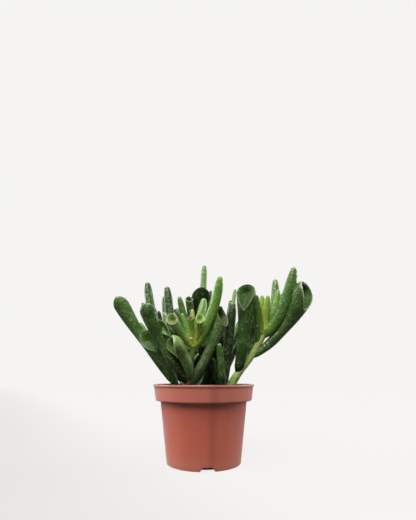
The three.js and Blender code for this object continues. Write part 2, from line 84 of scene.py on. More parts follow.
def unit(vectors: Array) -> Array:
    """Vectors of length 1 along the last axis."""
    return vectors / np.linalg.norm(vectors, axis=-1, keepdims=True)


def around(count: int) -> Array:
    """Angles of so many places, even round a circle."""
    return np.linspace(0, 2 * np.pi, count, endpoint=False)


def circle(angle: Array, radius: float, height: float = 0.0) -> Array:
    """Points at the angles of a level circle round the Z axis."""
    return np.stack([radius * np.cos(angle), radius * np.sin(angle), np.full(angle.shape, height)], axis=-1)


def srgb(colour: str) -> tuple[float, float, float, float]:
    """Linear red, green and blue of an sRGB hex colour, and a full alpha."""
    parts = [int(colour[i : i + 2], 16) / 255.0 for i in (1, 3, 5)]
    return (*(c / 12.92 if c <= 0.04045 else ((c + 0.055) / 1.055) ** 2.4 for c in parts), 1.0)


@dataclass
class Skin:
    """A closed surface: points, faces that look outwards, and marks for its finish.

    Attributes:
        points: One row of x, y, z for each corner.
        faces: Corner numbers of each face, as blocks of equal width.
        marks: A value or a vector for each corner, by name.
    """

    points: Array
    faces: list[Array]
    marks: dict[str, Array]

    @classmethod
    def from_rings(cls, first: Array, rings: Array, last: Array, marks: dict[str, Array]) -> "Skin":
        """Carry rings from a first pole to a last pole, a fan of triangles at each end.

        Args:
            first: The pole below the first ring.
            rings: Array of rows by sides by 3, each ring counter-clockwise round the way it goes.
            last: The pole above the last ring.
            marks: Arrays of rows by sides, or rows by sides by 3. The poles take the mean of
                the ring beside them.

        Returns:
            The closed skin.
        """
        rows, sides = rings.shape[:2]
        points = np.concatenate([first[None], rings.reshape(-1, 3), last[None]])
        grid = 1 + np.arange(rows * sides).reshape(rows, sides)
        here, after = grid, np.roll(grid, -1, axis=1)
        quads = np.stack([here[:-1], after[:-1], after[1:], here[1:]], axis=-1).reshape(-1, 4)
        pole = np.zeros(sides, int)
        foot = np.stack([pole, after[0], here[0]], axis=-1)
        head = np.stack([pole + rows * sides + 1, here[-1], after[-1]], axis=-1)
        flat = {}
        for name, value in marks.items():
            body = value.reshape(rows * sides, -1)
            ends = [value[row].reshape(sides, -1).mean(0)[None] for row in (0, -1)]
            flat[name] = np.concatenate([ends[0], body, ends[1]])
        return cls(points, [quads, np.concatenate([foot, head])], flat)

    @classmethod
    def joined(cls, skins: list["Skin"]) -> "Skin":
        """Put several skins into one.

        Args:
            skins: the skins, each with the same marks.

        Returns:
            The skin that holds them all.
        """
        starts = np.cumsum([0] + [len(skin.points) for skin in skins])
        faces = [block + start for skin, start in zip(skins, starts) for block in skin.faces]
        marks = {name: np.concatenate([skin.marks[name] for skin in skins]) for name in skins[0].marks}
        return cls(np.concatenate([skin.points for skin in skins]), faces, marks)

    def to_object(self, name: str, material: Material, crease: float) -> Object:
        """Make the mesh object, at the origin, with its marks as attributes.

        Args:
            name: The object's name.
            material: Its finish.
            crease: The angle in degrees from which an edge stays sharp.

        Returns:
            The object, linked to the scene.
        """
        mesh = bpy.data.meshes.new(name)
        corners = [face for block in self.faces for face in block.tolist()]
        mesh.from_pydata(self.points.tolist(), [], corners)
        mesh.shade_smooth()
        mesh.set_sharp_from_angle(angle=math.radians(crease))
        for label, value in self.marks.items():
            kind, key = ("FLOAT_VECTOR", "vector") if value.shape[1] == 3 else ("FLOAT", "value")
            attribute = mesh.attributes.new(label, kind, "POINT")
            attribute.data.foreach_set(key, value.astype(np.float32).ravel())
        mesh.materials.append(material)
        return link(name, mesh)


def link(name: str, data: ID) -> Object:
    """Link a new object to the scene.

    Args:
        name: the object's name.
        data: the mesh, light or camera that it holds.

    Returns:
        The object.
    """
    made = bpy.data.objects.new(name, data)
    bpy.context.scene.collection.objects.link(made)
    return made


def settle(piece: Object, slot: str, *nodes: str) -> Object:
    """Let a piece ride on the body and stand for its CAD nodes.

    Args:
        piece: the Blender object.
        slot: the name of its slot; not used.
        *nodes: the CAD nodes that it replaces.

    Returns:
        The piece.
    """
    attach(piece, BODY)
    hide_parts(*nodes)
    return piece


def feed(node: Node, sockets: Sockets) -> None:
    """Give a node's sockets their values or links.

    Args:
        node: The node.
        sockets: Input socket name or number, with a value or the output that feeds it.
    """
    for key, value in sockets.items():
        if isinstance(value, NodeSocket):
            node.id_data.links.new(value, node.inputs[key])
        else:
            node.inputs[key].default_value = value


def add_node(
    tree: NodeTree, kind: str, sockets: Sockets | None = None, output: int | str = 0, **settings
) -> NodeSocket:
    """Add a shader node with its settings, its values and its links.

    Args:
        tree: The material's or world's node tree.
        kind: The node's type, without ShaderNode in front.
        sockets: Input socket name or number, with a value or the output that feeds it.
        output: Name or number of the output that is asked for.
        **settings: The node's own properties.

    Returns:
        That output.
    """
    node = tree.nodes.new(f"ShaderNode{kind}")
    for key, value in settings.items():
        setattr(node, key, value)
    feed(node, sockets or {})
    return node.outputs[output]


def new_material(name: str) -> tuple[Material, Callable[..., NodeSocket], Node]:
    """Start a node material.

    Args:
        name: the material's name.

    Returns:
        The material, the function that adds a node to it, and its shader.
    """
    made = bpy.data.materials.new(name)
    made.use_nodes = True
    return made, partial(add_node, made.node_tree), made.node_tree.nodes["Principled BSDF"]


@dataclass(frozen=True)
class NurseryPot:
    """The moulded pot: a tapered wall, a stepped-out rim band, a lip and drainage notches.

    Its sizes are in millimetres. The notches bend the wall's rows up to the height `low`.
    """

    height: float = 70.0
    lip: float = 45.0
    lip_height: float = 1.8
    band_top: float = 44.3
    band_foot: float = 43.0
    band_height: float = 14.4
    wall_top: float = 38.6
    foot: float = 33.4
    wall: float = 1.2
    notches: int = 4
    first_notch: float = -84.4
    notch_foot: float = 12.6
    notch_top: float = 7.4
    notch_height: float = 3.4
    notch_inner: float = 23.0
    drain: float = 2.5
    low: float = 6.0

    # Rings of the floor: under the pot from its middle out, and in the pot from the wall in.
    UNDER_NEAR, UNDER_FAR = (2, 8, 14, 19), (25, 27, 29, 31)
    INNER_FAR, INNER_NEAR = (30, 27, 24), (14, 6)
    # How close two rings lie to a notch's end, how far a level edge slopes, how high the inner
    # ledge lies over the step, and how far in from the foot's radius a row still is wall.
    HAIR, EASE, LEDGE_FOOT, LEDGE_TOP, WALL_MARGIN = 0.05, 0.1, 1.1, 2.2, 0.3
    COLUMNS_BETWEEN, COLUMNS_SLANTED, ARC_STEPS, DRILL_SIDES = 54, 4, 6, 32
    CREASE = 35  # degrees
    # Painted shade: full inside, past the lip's rows, and a share of it on the lip's top.
    LIP_ROWS, WORN, WORN_DEPTH, STAIN_DEPTH = 2, 0.35, 1.2, 0.3

    @property
    def step(self) -> float:
        """Height at which the rim band starts."""
        return self.height - self.band_height

    def filleted(self, corners: list[Triple]) -> Array:
        """An outline with its corners rounded.

        A corner with a fillet becomes a quadratic arc between the points that lie the fillet's
        length before and after it.

        Args:
            corners: Radius, height and fillet of each corner.

        Returns:
            Rows of radius and height.
        """
        points = np.array([corner[:2] for corner in corners], float)
        outline = [points[:1]]
        s = np.linspace(0, 1, self.ARC_STEPS)[:, None]
        for before, here, after, (_, _, fillet) in zip(points, points[1:], points[2:], corners[1:]):
            a = here + unit(before - here) * fillet
            b = here + unit(after - here) * fillet
            arc = (1 - s) ** 2 * a + 2 * s * (1 - s) * here + s**2 * b
            outline.append(arc if fillet else here[None])
        return np.concatenate(outline + [points[-1:]])

    def outline(self) -> Array:
        """Draw the pot's section, up the outside and down inside.

        Returns:
            Its points, from the middle of the underside on.
        """
        lean = (self.wall_top - self.foot) * self.low / self.step
        lip_foot = self.height - self.lip_height
        pocket, inner_pocket, hair = self.notch_inner, self.notch_inner - self.wall, self.HAIR
        under = (*self.UNDER_NEAR, pocket - hair, pocket + hair, *self.UNDER_FAR)
        inner = (*self.INNER_FAR, inner_pocket + hair, inner_pocket - hair, *self.INNER_NEAR)
        walls = [
            (self.foot, 0, 0.5),
            (self.foot + lean, self.low, 0),
            (self.wall_top, self.step, 0.5),
            (self.band_foot - self.EASE, self.step, 1.5),
            (self.band_top, lip_foot, 0.15),
            (self.lip, lip_foot + self.EASE, 0.25),
            (self.lip, self.height, 0.5),
            (self.band_top - self.wall, self.height, 0.35),
            (self.band_foot - self.wall, self.step + self.LEDGE_TOP, 0.6),
            (self.wall_top - self.wall, self.step + self.LEDGE_FOOT, 0.4),
            (self.foot + lean - self.wall, self.low + self.wall, 0),
            (self.foot - self.wall, self.wall, 0.4),
        ]
        return self.filleted([(r, 0, 0) for r in under] + walls + [(r, self.wall, 0) for r in inner])

    def columns(self) -> tuple[Array, Array, Array]:
        """Where the columns stand: straight across a notch, even in between.

        Returns:
            For each column its notch's compass angle in radians, its distance across that
            notch in millimetres, and its share of the way to the next notch.
        """
        foot, top = self.notch_foot / 2, self.notch_top / 2
        slanted = np.linspace(-foot, -top, self.COLUMNS_SLANTED)
        across = np.concatenate([slanted, [-top / 2, 0, top / 2], -slanted[::-1]])
        between = np.linspace(0, 1, self.COLUMNS_BETWEEN + 2)[1:-1]
        offset = np.concatenate([across, np.full(len(between), foot)])
        share = np.concatenate([np.zeros(len(across)), between])
        notch = np.radians(self.first_notch) + 2 * np.pi * np.arange(self.notches) / self.notches
        return (np.repeat(notch, len(offset)), np.tile(offset, self.notches), np.tile(share, self.notches))

    def skin(self) -> Skin:
        """The pot's whole surface.

        The section is carried round the axis. Under a notch the underside and the inner floor
        are lifted by the notch's outline, h = height clamp((foot / 2 - |u|) / slope), and the
        wall rows up to `low` are spaced again between h and `low`.

        Returns:
            The closed skin, with a mark of painted shade inside and on the lip's top.
        """
        outline = self.outline()
        radius, height = outline[:, :1], outline[:, 1:]
        notch, offset, share = self.columns()
        reach = np.clip(radius, self.notch_inner - self.wall, self.foot)
        edge = np.arcsin(self.notch_foot / 2 / reach)
        gap = 2 * np.pi / self.notches - 2 * edge
        angle = notch + np.arcsin(offset / reach) + share * gap
        run = (self.notch_foot - self.notch_top) / 2
        rise = self.notch_height * np.clip((self.notch_foot / 2 - np.abs(offset)) / run, 0, 1)
        rise = rise * (share == 0)
        row, widest = np.arange(len(outline)), np.argmax(radius[:, 0])
        under = np.where(row <= widest, 0.0, self.wall)[:, None]
        lifted = (radius > self.notch_inner - under) & (height <= self.low + under)
        raised = under + rise + (self.low - rise) * np.clip((height - under) / self.low, 0, 1)
        z = np.where(lifted, raised, height)
        lean = (self.wall_top - self.foot) / self.step
        on_wall = lifted & (radius > self.foot - under - self.WALL_MARGIN)
        r = radius + np.where(on_wall, lean * (z - height), 0)
        rings = np.stack([r * np.cos(angle), r * np.sin(angle), z], axis=-1) * MM
        # Painted shade: the inside darkened fully below the lip, the lip's top partly.
        inside = (row > widest + self.LIP_ROWS)[:, None]
        edge = self.height - self.STAIN_DEPTH
        lip_shade = self.WORN * smooth(self.height - self.WORN_DEPTH, edge, z)
        stain = np.maximum(lip_shade, inside * smooth(self.height + self.EASE, edge, z))
        return Skin.from_rings(np.zeros(3), rings, np.array([0, 0, self.wall]) * MM, {"stain": stain})

    def drill(self, piece: Object) -> Object:
        """Cut the drain hole in each notch's roof: round prisms taken out of the pot.

        Args:
            piece: The pot.

        Returns:
            The drilled pot.
        """
        ring = circle(around(self.DRILL_SIDES), self.drain)
        rise = np.array([0, 0, self.notch_height + 2 * self.wall])
        reach = (self.notch_inner + self.foot) / 2
        drills = []
        for notch in np.unique(self.columns()[0]):
            foot = np.array([reach * math.cos(notch), reach * math.sin(notch), self.notch_height / 2])
            rings = (foot + np.stack([ring, ring + rise])) * MM
            drills.append(Skin.from_rings(foot * MM, rings, (foot + rise) * MM, {}))
        cutter = Skin.joined(drills).to_object("drills", piece.data.materials[0], self.CREASE)
        cut = piece.modifiers.new("drain holes", "BOOLEAN")
        cut.operation, cut.solver, cut.object = "DIFFERENCE", "EXACT", cutter
        graph = bpy.context.evaluated_depsgraph_get()
        drilled = bpy.data.meshes.new_from_object(piece.evaluated_get(graph))
        piece.modifiers.clear()
        piece.data = drilled
        drilled.set_sharp_from_angle(angle=math.radians(self.CREASE))
        bpy.data.objects.remove(cutter)
        return piece

    def build(self, finish: Material) -> Object:
        """Make the pot in place of its node."""
        pot = self.skin().to_object("pot_moulded", finish, self.CREASE)
        return settle(self.drill(pot), "pot_plastic", "pot")


@dataclass(frozen=True)
class SoilBed:
    """The potting soil, in millimetres: an uneven bed with crumbs of peat and bark on it."""

    radius: float = 41.7
    crumbs: int = 1500
    smallest: float = 0.5
    largest: float = 1.9
    stem_room: float = 4.6
    wall_room: float = 1.5

    TOP = 60.0
    # Radius and height of the rings under the top, and the top's rings and innermost radius.
    SECTION = ((31.6, 1.5), (37.0, 56.4), (41.2, 58.2))
    RINGS, COLUMNS, INNERMOST = 64, 200, 0.6
    # The slow waves, as in the frame, and the random short ones.
    ROUGHNESS, WAVE_X, WAVE_Y = 0.5, 0.31, 0.27
    CROSSED, CROSS_X, CROSS_Y = 0.6, 0.4, 0.5
    WAVES, SHORTEST, LONGEST, STEEPNESS = 90, 1.8, 9.0, 0.012
    # A crumb: corners of a ring, the rings' radius, height and twist, and ranges of its draws.
    CORNERS, GIRTH, HALF, TWIST = 5, 0.9, 0.4, 0.6
    DENTS, STRETCH, FLATNESS, SEAT = (0.7, 1.15), (0.55, 1.3), (1, 1, 0.6), 0.1
    TONES = (0.15, 1.0)
    SEED = 7

    def top(self, x: Array, y: Array) -> Array:
        """Height of the bed.

        Two slow waves, as in the frame, and a sum of plane waves of random direction whose
        height is a share of their length.

        Args:
            x: Places in millimetres.
            y: Places in millimetres.

        Returns:
            Heights in millimetres.
        """
        slow = np.sin(self.WAVE_X * x + 1) * np.cos(self.WAVE_Y * y)
        slow = slow + self.CROSSED * np.sin(self.CROSS_Y * y + self.CROSS_X * x)
        draw = np.random.default_rng(self.SEED)
        turn, start = draw.uniform(0, 2 * np.pi, (2, self.WAVES))
        length = draw.uniform(self.SHORTEST, self.LONGEST, self.WAVES)
        way = (x[..., None] * np.cos(turn) + y[..., None] * np.sin(turn)) * 2 * np.pi / length
        short = (self.STEEPNESS * length * np.sin(way + start)).sum(axis=-1)
        return self.TOP + self.ROUGHNESS * slow + short

    def bed(self) -> Skin:
        """Turn the bed's closed section, whose top rings follow the height formula.

        Returns:
            The bed's skin.
        """
        angle = around(self.COLUMNS)
        lower, heights = np.array(self.SECTION).T
        radius = np.concatenate([lower, np.linspace(self.radius, self.INNERMOST, self.RINGS)])
        x, y = radius[:, None] * np.cos(angle), radius[:, None] * np.sin(angle)
        z = self.top(x, y)
        z[: len(heights)] = heights[:, None]
        rings = np.stack([x, y, z], axis=-1) * MM
        foot = np.array([0, 0, heights[0]]) * MM
        return Skin.from_rings(foot, rings, rings[-1].mean(axis=0), {"tone": np.zeros(x.shape)})

    def scatter(self, stems: Array) -> Skin:
        """The crumbs: flattened, dented round lumps, turned at random and half sunk in the bed.

        Each has two rings of five corners and two poles, so that a crumb has 20 faces.

        Args:
            stems: Places of the stems at the soil's top, in millimetres, kept free.

        Returns:
            All crumbs as one skin.
        """
        draw = np.random.default_rng(self.SEED + 1)
        turn = draw.uniform(0, 2 * np.pi, self.crumbs)
        out = (self.radius - self.wall_room) * np.sqrt(draw.uniform(0, 1, self.crumbs))
        x, y = out * np.cos(turn), out * np.sin(turn)
        clear = (np.hypot(x[:, None] - stems[:, 0], y[:, None] - stems[:, 1]) > self.stem_room).all(axis=1)
        x, y = x[clear], y[clear]
        count, ring = len(x), self.CORNERS
        size = self.smallest + (self.largest - self.smallest) * draw.uniform(0, 1, count) ** 3
        low = circle(around(ring), self.GIRTH, -self.HALF)
        high = circle(around(ring) + self.TWIST, self.GIRTH, self.HALF)
        corners = np.concatenate([[[0, 0, -1.0]], low, high, [[0, 0, 1.0]]])
        corners = corners * draw.uniform(*self.DENTS, (count, len(corners), 1))
        corners = corners * (size[:, None] * draw.uniform(*self.STRETCH, (count, 3)) * self.FLATNESS)[:, None]
        frames = np.linalg.qr(draw.normal(size=(count, 3, 3)))[0]
        frames = frames * np.sign(np.linalg.det(frames))[:, None, None]
        seat = np.stack([x, y, self.top(x, y) + self.SEAT * size], axis=-1)
        corners = (np.einsum("nij,nkj->nki", frames, corners) + seat[:, None]) * MM
        skins = []
        for lump, shade in zip(corners, draw.uniform(*self.TONES, count)):
            marks = {"tone": np.full((2, ring), shade)}
            skins.append(Skin.from_rings(lump[0], lump[1:-1].reshape(2, ring, 3), lump[-1], marks))
        return Skin.joined(skins)

    def build(self, stems: Array, finish: Material) -> Object:
        """Make the soil in place of its node, its crumbs clear of the stems' places."""
        soil = Skin.joined([self.bed(), self.scatter(stems)])
        return settle(soil.to_object("soil_crumbs", finish, crease=40), "soil", "soil")


@dataclass(frozen=True)
class Shape:
    """How one form of leaf differs, as shares of its widths.

    Attributes:
        thick: Thickness over width.
        slant: Length of the mouth's slope over the head's width.
        dish: Depth of the mouth over the head's width; below 0 it is a dome.
        vee: How far the lower lip is drawn to a point.
        flare: Where along the leaf the head starts to widen.
        hood: How far the head closes again towards its tip.
        wrap: How far the sides wrap round the mouth; 1 is a plane cut.
    """

    thick: float
    slant: float
    dish: float
    vee: float
    flare: float
    hood: float
    wrap: float = 1.0


class Form(Enum):
    """The forms that the plant's leaves take."""

    FINGER = Shape(0.8, 0.1, -0.25, 0, 0.62, 0)
    BLADE = Shape(0.62, 0.3, -0.03, 0, 0.6, 0)
    TUBE = Shape(0.95, 0.35, 0.4, 0, 0.6, 0)
    TRUMPET = Shape(0.95, 0.7, 0.35, 0, 0.6, 0)
    SPOON = Shape(0.62, 1.55, 0.16, 0.45, 0.42, 0.38)
    SCOOP = Shape(0.9, 1.3, 0.38, 0.08, 0.45, 0.38)


@dataclass(frozen=True)
class Leaf:
    """One leaf, in millimetres and degrees.

    Attributes:
        form: Its form.
        at: Where it grows from along its stem, 0 to 1.
        tip: Where its spine ends.
        wide: Width at the stalk, the middle and the head.
        young: 0 for an old dark leaf to 1 for a fresh yellow-green one.
        bow: How far the middle of its spine is pushed aside.
        face: Compass angle that its mouth looks to; -90 is the front.
        blush: How brown its mouth is, 0 to 1.
        lined: How pale the line round its mouth is, 0 to 1.
        bloom: How much pale wax lies on it, 0 to 1.
        slant: The form's own value, where this leaf differs, as are flare, hood and wrap.
    """

    form: Form
    at: float
    tip: Triple
    wide: Triple
    young: float = 0.1
    bow: Triple = (0, 0, 0)
    face: float = -90
    blush: float = 0.0
    lined: float = 0.6
    bloom: float = 0.0
    slant: float | None = None
    flare: float | None = None
    hood: float | None = None
    wrap: float | None = None

    # Counts of rings and corners, and how they crowd towards the mouth.
    SIDES, ROWS, BEAD_ROWS, DISH_ROWS = 40, 52, 5, 10
    CROWDING, SPINE_STEPS = 1.6, 200
    # The widths: shares of the leaf's width and length.
    STALK_ROUNDNESS, STALK_REACH = 0.9, 0.5
    STALK_PINCH, PINCH_REACH, MIDDLE_REACH = 0.62, 0.1, 0.35
    TIP_REACH, TIP_LOSS, TIP_LOSS_FROM = 1.5, 0.14, 0.45
    HOOD_REACH, LEAST_HEAD, SOFTENED = 0.5, 0.6, 0.6
    # The bead and the line round the mouth: millimetres, and a share of the head's width.
    BEAD, BEAD_SHARE, LINE, LINE_SHARE = 0.15, 0.014, 0.4, 0.016
    # Light and dark: the yellow heart of a crown, painted shade at old leaves' feet, and painted shade low in
    # the plant.
    HEART, SHADE, HEART_REACH, LOW_SHADE, LOW_REACH = 0.48, 0.5, 12.0, 0.15, 45.0
    # How much less painted shade young leaves' mouths take, and the random spread of a leaf's age.
    YOUNG_MOUTH, CHANCE = 1.7, 0.05

    @property
    def shape(self) -> Shape:
        """The form's shape with this leaf's own values put in."""
        own = {key: getattr(self, key) for key in ("slant", "flare", "hood", "wrap")}
        return replace(self.form.value, **{key: value for key, value in own.items() if value is not None})

    def half_width(self, t: Array, length: float) -> Array:
        """Half the width along the spine.

        A pinched stalk widens to the middle. Then the head either flares open, its hood closing
        it partly again, or closes in an elliptic tip.

        Args:
            t: Places along the spine, 0 to 1.
            length: The spine's length, in metres.

        Returns:
            Half widths in metres, in the shape of t.
        """
        stalk, middle, head = (width * MM / 2 for width in self.wide)
        half = mix(stalk, middle, smooth(0, self.MIDDLE_REACH, t))
        half = half * mix(self.STALK_PINCH, 1, smooth(0, self.PINCH_REACH, t))
        if head >= middle:
            reach = self.HOOD_REACH * 2 * head / length
            half = half + (head - middle) * smooth(self.shape.flare, 1, t)
            return half * mix(1, round_off((t - 1 + reach) / reach), self.shape.hood)
        reach = self.TIP_REACH * 2 * middle / length
        half = half * (1 - self.TIP_LOSS * smooth(self.TIP_LOSS_FROM, 1, t))
        return half * mix(head / middle, 1, round_off((t - 1 + reach) / reach))

    def skin(self, base: Array, seed: int) -> Skin:
        """The leaf's surface.

        The wall is oval rings on a quadratic curve, where t = r - slope lip(a) r^2 shears the
        rings towards the slanted rim. From the rim a round bead turns inwards, and rings sink
        from it into the dish by depth sin^2(pi s / 2), while the lip's point is smoothed out.

        Args:
            base: The point on the stem's route that it grows from.
            seed: Number that sets this leaf's pattern apart from its neighbours'.

        Returns:
            The closed skin with its marks.
        """
        shape = self.shape
        tip = np.array(self.tip) * MM
        control = (base + tip) / 2 + 2 * MM * np.array(self.bow)

        def spine(t: Array) -> Array:
            """Point of the quadratic curve base, control, tip."""
            t = np.asarray(t)[..., None]
            return (1 - t) ** 2 * base + 2 * t * (1 - t) * control + t**2 * tip

        def heading(t: Array) -> Array:
            """Direction of the quadratic curve."""
            t = np.asarray(t)[..., None]
            return unit((1 - t) * (control - base) + t * (tip - control))

        steps = spine(np.linspace(0, 1, self.SPINE_STEPS))
        length = np.linalg.norm(np.diff(steps, axis=0), axis=1).sum()
        compass = math.radians(self.face)
        look = np.array([math.cos(compass), math.sin(compass), 0.0])
        head = self.wide[2] * MM
        slope = shape.slant * max(head, self.LEAST_HEAD * self.wide[1] * MM) / length

        angle = around(self.SIDES)
        round_lip = (1 + np.cos(angle)) / 2
        lip = mix(round_lip, 1 - np.abs(np.sin(angle / 2)), shape.vee) ** shape.wrap

        def ovals(t: Array) -> Array:
            """Place the rings by spine(t) + w sin(a) across + w h cos(a) front.

            Args:
                t: the way along the leaf of each ring.

            Returns:
                The points of each ring.
            """
            along = heading(t)
            front = unit(look - (along @ look)[..., None] * along)
            half = self.half_width(t, length)
            thick = mix(shape.thick, self.STALK_ROUNDNESS, 1 - smooth(0, self.STALK_REACH, t))
            wide = (half * np.sin(angle))[..., None] * np.cross(along, front)
            return spine(t) + wide + (half * thick * np.cos(angle))[..., None] * front

        r = (1 - (1 - np.linspace(0, 1, self.ROWS + 1)) ** self.CROWDING)[:, None]
        wall = ovals(r - slope * lip * r**2)
        rim = wall[-1]
        centre = rim.mean(axis=0)
        side = rim[self.SIDES // 4] - rim[-self.SIDES // 4]
        outward = unit(np.cross(side, rim[self.SIDES // 2] - rim[0]))
        inward = centre - rim
        radius = np.linalg.norm(inward, axis=1)[:, None]
        bead = (self.BEAD * MM + self.BEAD_SHARE * head) * (shape.dish > 0)
        turn = np.linspace(0, np.pi, self.BEAD_ROWS + 1)[1:, None, None]
        rolled = rim + inward * bead * (1 - np.cos(turn)) / radius + outward * bead * np.sin(turn)
        depth = shape.dish * head
        s = np.linspace(0, 1, self.DISH_ROWS + 1)[1:-1, None, None]
        start = 2 * bead / radius
        soft = mix(rim, ovals(1 - slope * round_lip**shape.wrap), smooth(0, self.SOFTENED, s))
        sunk = outward * depth * np.sin(np.pi * s / 2) ** 2
        dish = soft + (centre - soft) * (start + (1 - start) * s) - sunk

        rings = np.concatenate([wall, rolled, dish] if bead else [wall, dish])
        foot = base - heading(0.0) * self.wide[0] * MM / 4
        return Skin.from_rings(foot, rings, centre - outward * depth, self.marks(wall, rings, seed))

    def marks(self, wall: Array, rings: Array, seed: int) -> dict[str, Array]:
        """The marks that its finish reads.

        The pale line and the blush fall off with the distance from the rim, and the painted
        shade of the mouth starts past the line. A crown's yellow centre and painted shade at an
        old leaf's foot fall off from the leaf's foot, and painted shade darkens leaves low in
        the plant. Bloom lies outside the mouth.

        Args:
            wall: The rings of the wall, whose last one is the rim.
            rings: All rings.
            seed: Number that sets the pattern's place.

        Returns:
            Arrays in the layout of the rings: place in millimetres, rim, mouth, young, blush
            and bark.
        """
        apart = np.linalg.norm(rings - wall[-1], axis=-1) / MM
        climbed = np.linalg.norm(rings - wall[0].mean(axis=0), axis=-1) / MM
        reach = self.LINE + self.LINE_SHARE * self.wide[2]
        inside = np.arange(len(rings)) >= len(wall)
        hollow = inside[:, None] * (self.shape.dish > 0)
        edge = fall(apart, reach)
        # The crown's yellow at the top of a stem, and painted shade at the feet of leaves low on it.
        heart_and_foot_shade = (self.HEART * self.at - self.SHADE * (1 - self.at)) * fall(climbed, self.HEART_REACH)
        # Painted shade: leaves darker in the lowest LOW_REACH millimetres over the soil.
        low = self.LOW_SHADE * (1 - smooth(SoilBed.TOP, SoilBed.TOP + self.LOW_REACH, rings[..., 2] / MM))
        # Painted shade inside the mouth, weaker in young leaves.
        dark = hollow * smooth(reach, 2 * reach, apart) * max(0, 1 - self.YOUNG_MOUTH * self.young)
        draw = np.random.default_rng(seed)
        return {
            "leaf_place": rings / MM + draw.uniform(-PATTERN_SPREAD, PATTERN_SPREAD, 3),
            "rim": np.maximum(self.lined * edge, self.bloom * (1 - dark)),
            "mouth": dark,
            # The young mark also carries the painted shade at the feet and low in the plant.
            "young": np.clip(self.young + draw.uniform(-self.CHANCE, self.CHANCE) + heart_and_foot_shade - low, 0, 1),
            "blush": self.blush * np.maximum(hollow, edge),
            "bark": np.zeros(apart.shape),
        }


@dataclass(frozen=True)
class Cutting:
    """A rooted stem and its leaves, in millimetres.

    Attributes:
        node: The node that it stands for.
        route: Points from 8 mm under the soil to the growing tip.
        radii: The stem's radii along the route.
        leaves: Its leaves.
        woody: Height above the soil up to which the stem is brown.
        fresh: How fresh and light its green part is, 0 to 1.
    """

    node: str
    route: tuple[Triple, ...]
    radii: tuple[float, ...]
    leaves: tuple[Leaf, ...]
    woody: float = 16.0
    fresh: float = 0.3

    # Counts, the domed tip's height over its radius, and the scars in millimetres and a share.
    SIDES, ROWS, CROWN_ROWS, CROWN = 28, 72, 4, 0.6
    SCAR_SPACING, SCAR_WIDTH, SCAR_HEIGHT = 6.5, 0.7, 0.05
    # Wax on fresh bark, where along the woody part green starts, and seeds set apart for each.
    BLOOM, GREENING, SEEDS = 0.4, 0.3, 1000

    def place(self, u: Array) -> Array:
        """Points of the route: a Catmull-Rom curve, its ends mirrored for the missing points.

        Args:
            u: Places along it, 0 to 1.

        Returns:
            One point for each place, in metres.
        """
        p = np.array(self.route) * MM
        p = np.concatenate([[2 * p[0] - p[1]], p, [2 * p[-1] - p[-2]]])
        s = np.clip(np.atleast_1d(u), 0, 1) * (len(p) - 3)
        i = np.minimum(s.astype(int), len(p) - 4)
        f = (s - i)[:, None]
        a, b, c, d = p[i], p[i + 1], p[i + 2], p[i + 3]
        bend, twist = 2 * a - 5 * b + 4 * c - d, 3 * b - a - 3 * c + d
        return 0.5 * (2 * b + (c - a) * f + bend * f**2 + twist * f**3)

    def stem(self, seed: int) -> Skin:
        """The stem: round rings on the route, a low ring where each pair of leaves once stood.

        The radius is the table's, times 1 + h exp(-(distance to the nearest scar / width)^2).

        Args:
            seed: Number that sets the pattern's place.

        Returns:
            The closed skin with its marks.
        """
        u = np.linspace(0, 1, self.ROWS)
        centre = self.place(u)
        along = unit(np.gradient(centre, axis=0))
        front = np.array([0.0, -1.0, 0.0])
        front = unit(front - (along @ front)[:, None] * along)
        across = np.cross(along, front)
        walked = np.concatenate([[0], np.cumsum(np.linalg.norm(np.diff(centre, axis=0), axis=1))]) / MM
        off = (walked + self.SCAR_SPACING / 2) % self.SCAR_SPACING - self.SCAR_SPACING / 2
        radius = np.interp(u, np.linspace(0, 1, len(self.radii)), self.radii) * MM
        radius = radius * (1 + self.SCAR_HEIGHT * fall(off, self.SCAR_WIDTH))
        angle = around(self.SIDES)
        wide = (radius[:, None] * np.sin(angle))[..., None] * across[:, None]
        deep = (radius[:, None] * np.cos(angle))[..., None] * front[:, None]
        rings = centre[:, None] + wide + deep
        cap = np.linspace(0, 1, self.CROWN_ROWS + 2)[1:-1, None, None]
        reach = self.CROWN * radius[-1]
        domed = centre[-1] + (rings[-1] - centre[-1]) * round_off(cap) + along[-1] * reach * cap
        rings = np.concatenate([rings, domed])
        flat = np.ones(rings.shape[:2])
        draw = np.random.default_rng(seed)
        marks = {
            "leaf_place": rings / MM + draw.uniform(-PATTERN_SPREAD, PATTERN_SPREAD, 3),
            "rim": flat * self.BLOOM * self.fresh,
            "mouth": flat * 0.0,
            "young": flat * self.fresh,
            "blush": flat * 0.0,
            "bark": 1 - smooth(self.GREENING * self.woody, self.woody, rings[..., 2] / MM - SoilBed.TOP),
        }
        return Skin.from_rings(centre[0], rings, centre[-1] + along[-1] * reach, marks)

    def build(self, number: int, finish: Material) -> Object:
        """Make the cutting in place of its node.

        Args:
            number: Its number, which sets its patterns.
            finish: The leaf's material.

        Returns:
            The piece.
        """
        seed = self.SEEDS * number
        skins = [self.stem(seed)]
        for count, leaf in enumerate(self.leaves, start=1):
            skins.append(leaf.skin(self.place(leaf.at)[0], seed + count))
        piece = Skin.joined(skins).to_object(f"{self.node}_fine", finish, crease=60)
        return settle(piece, "leaf", self.node)


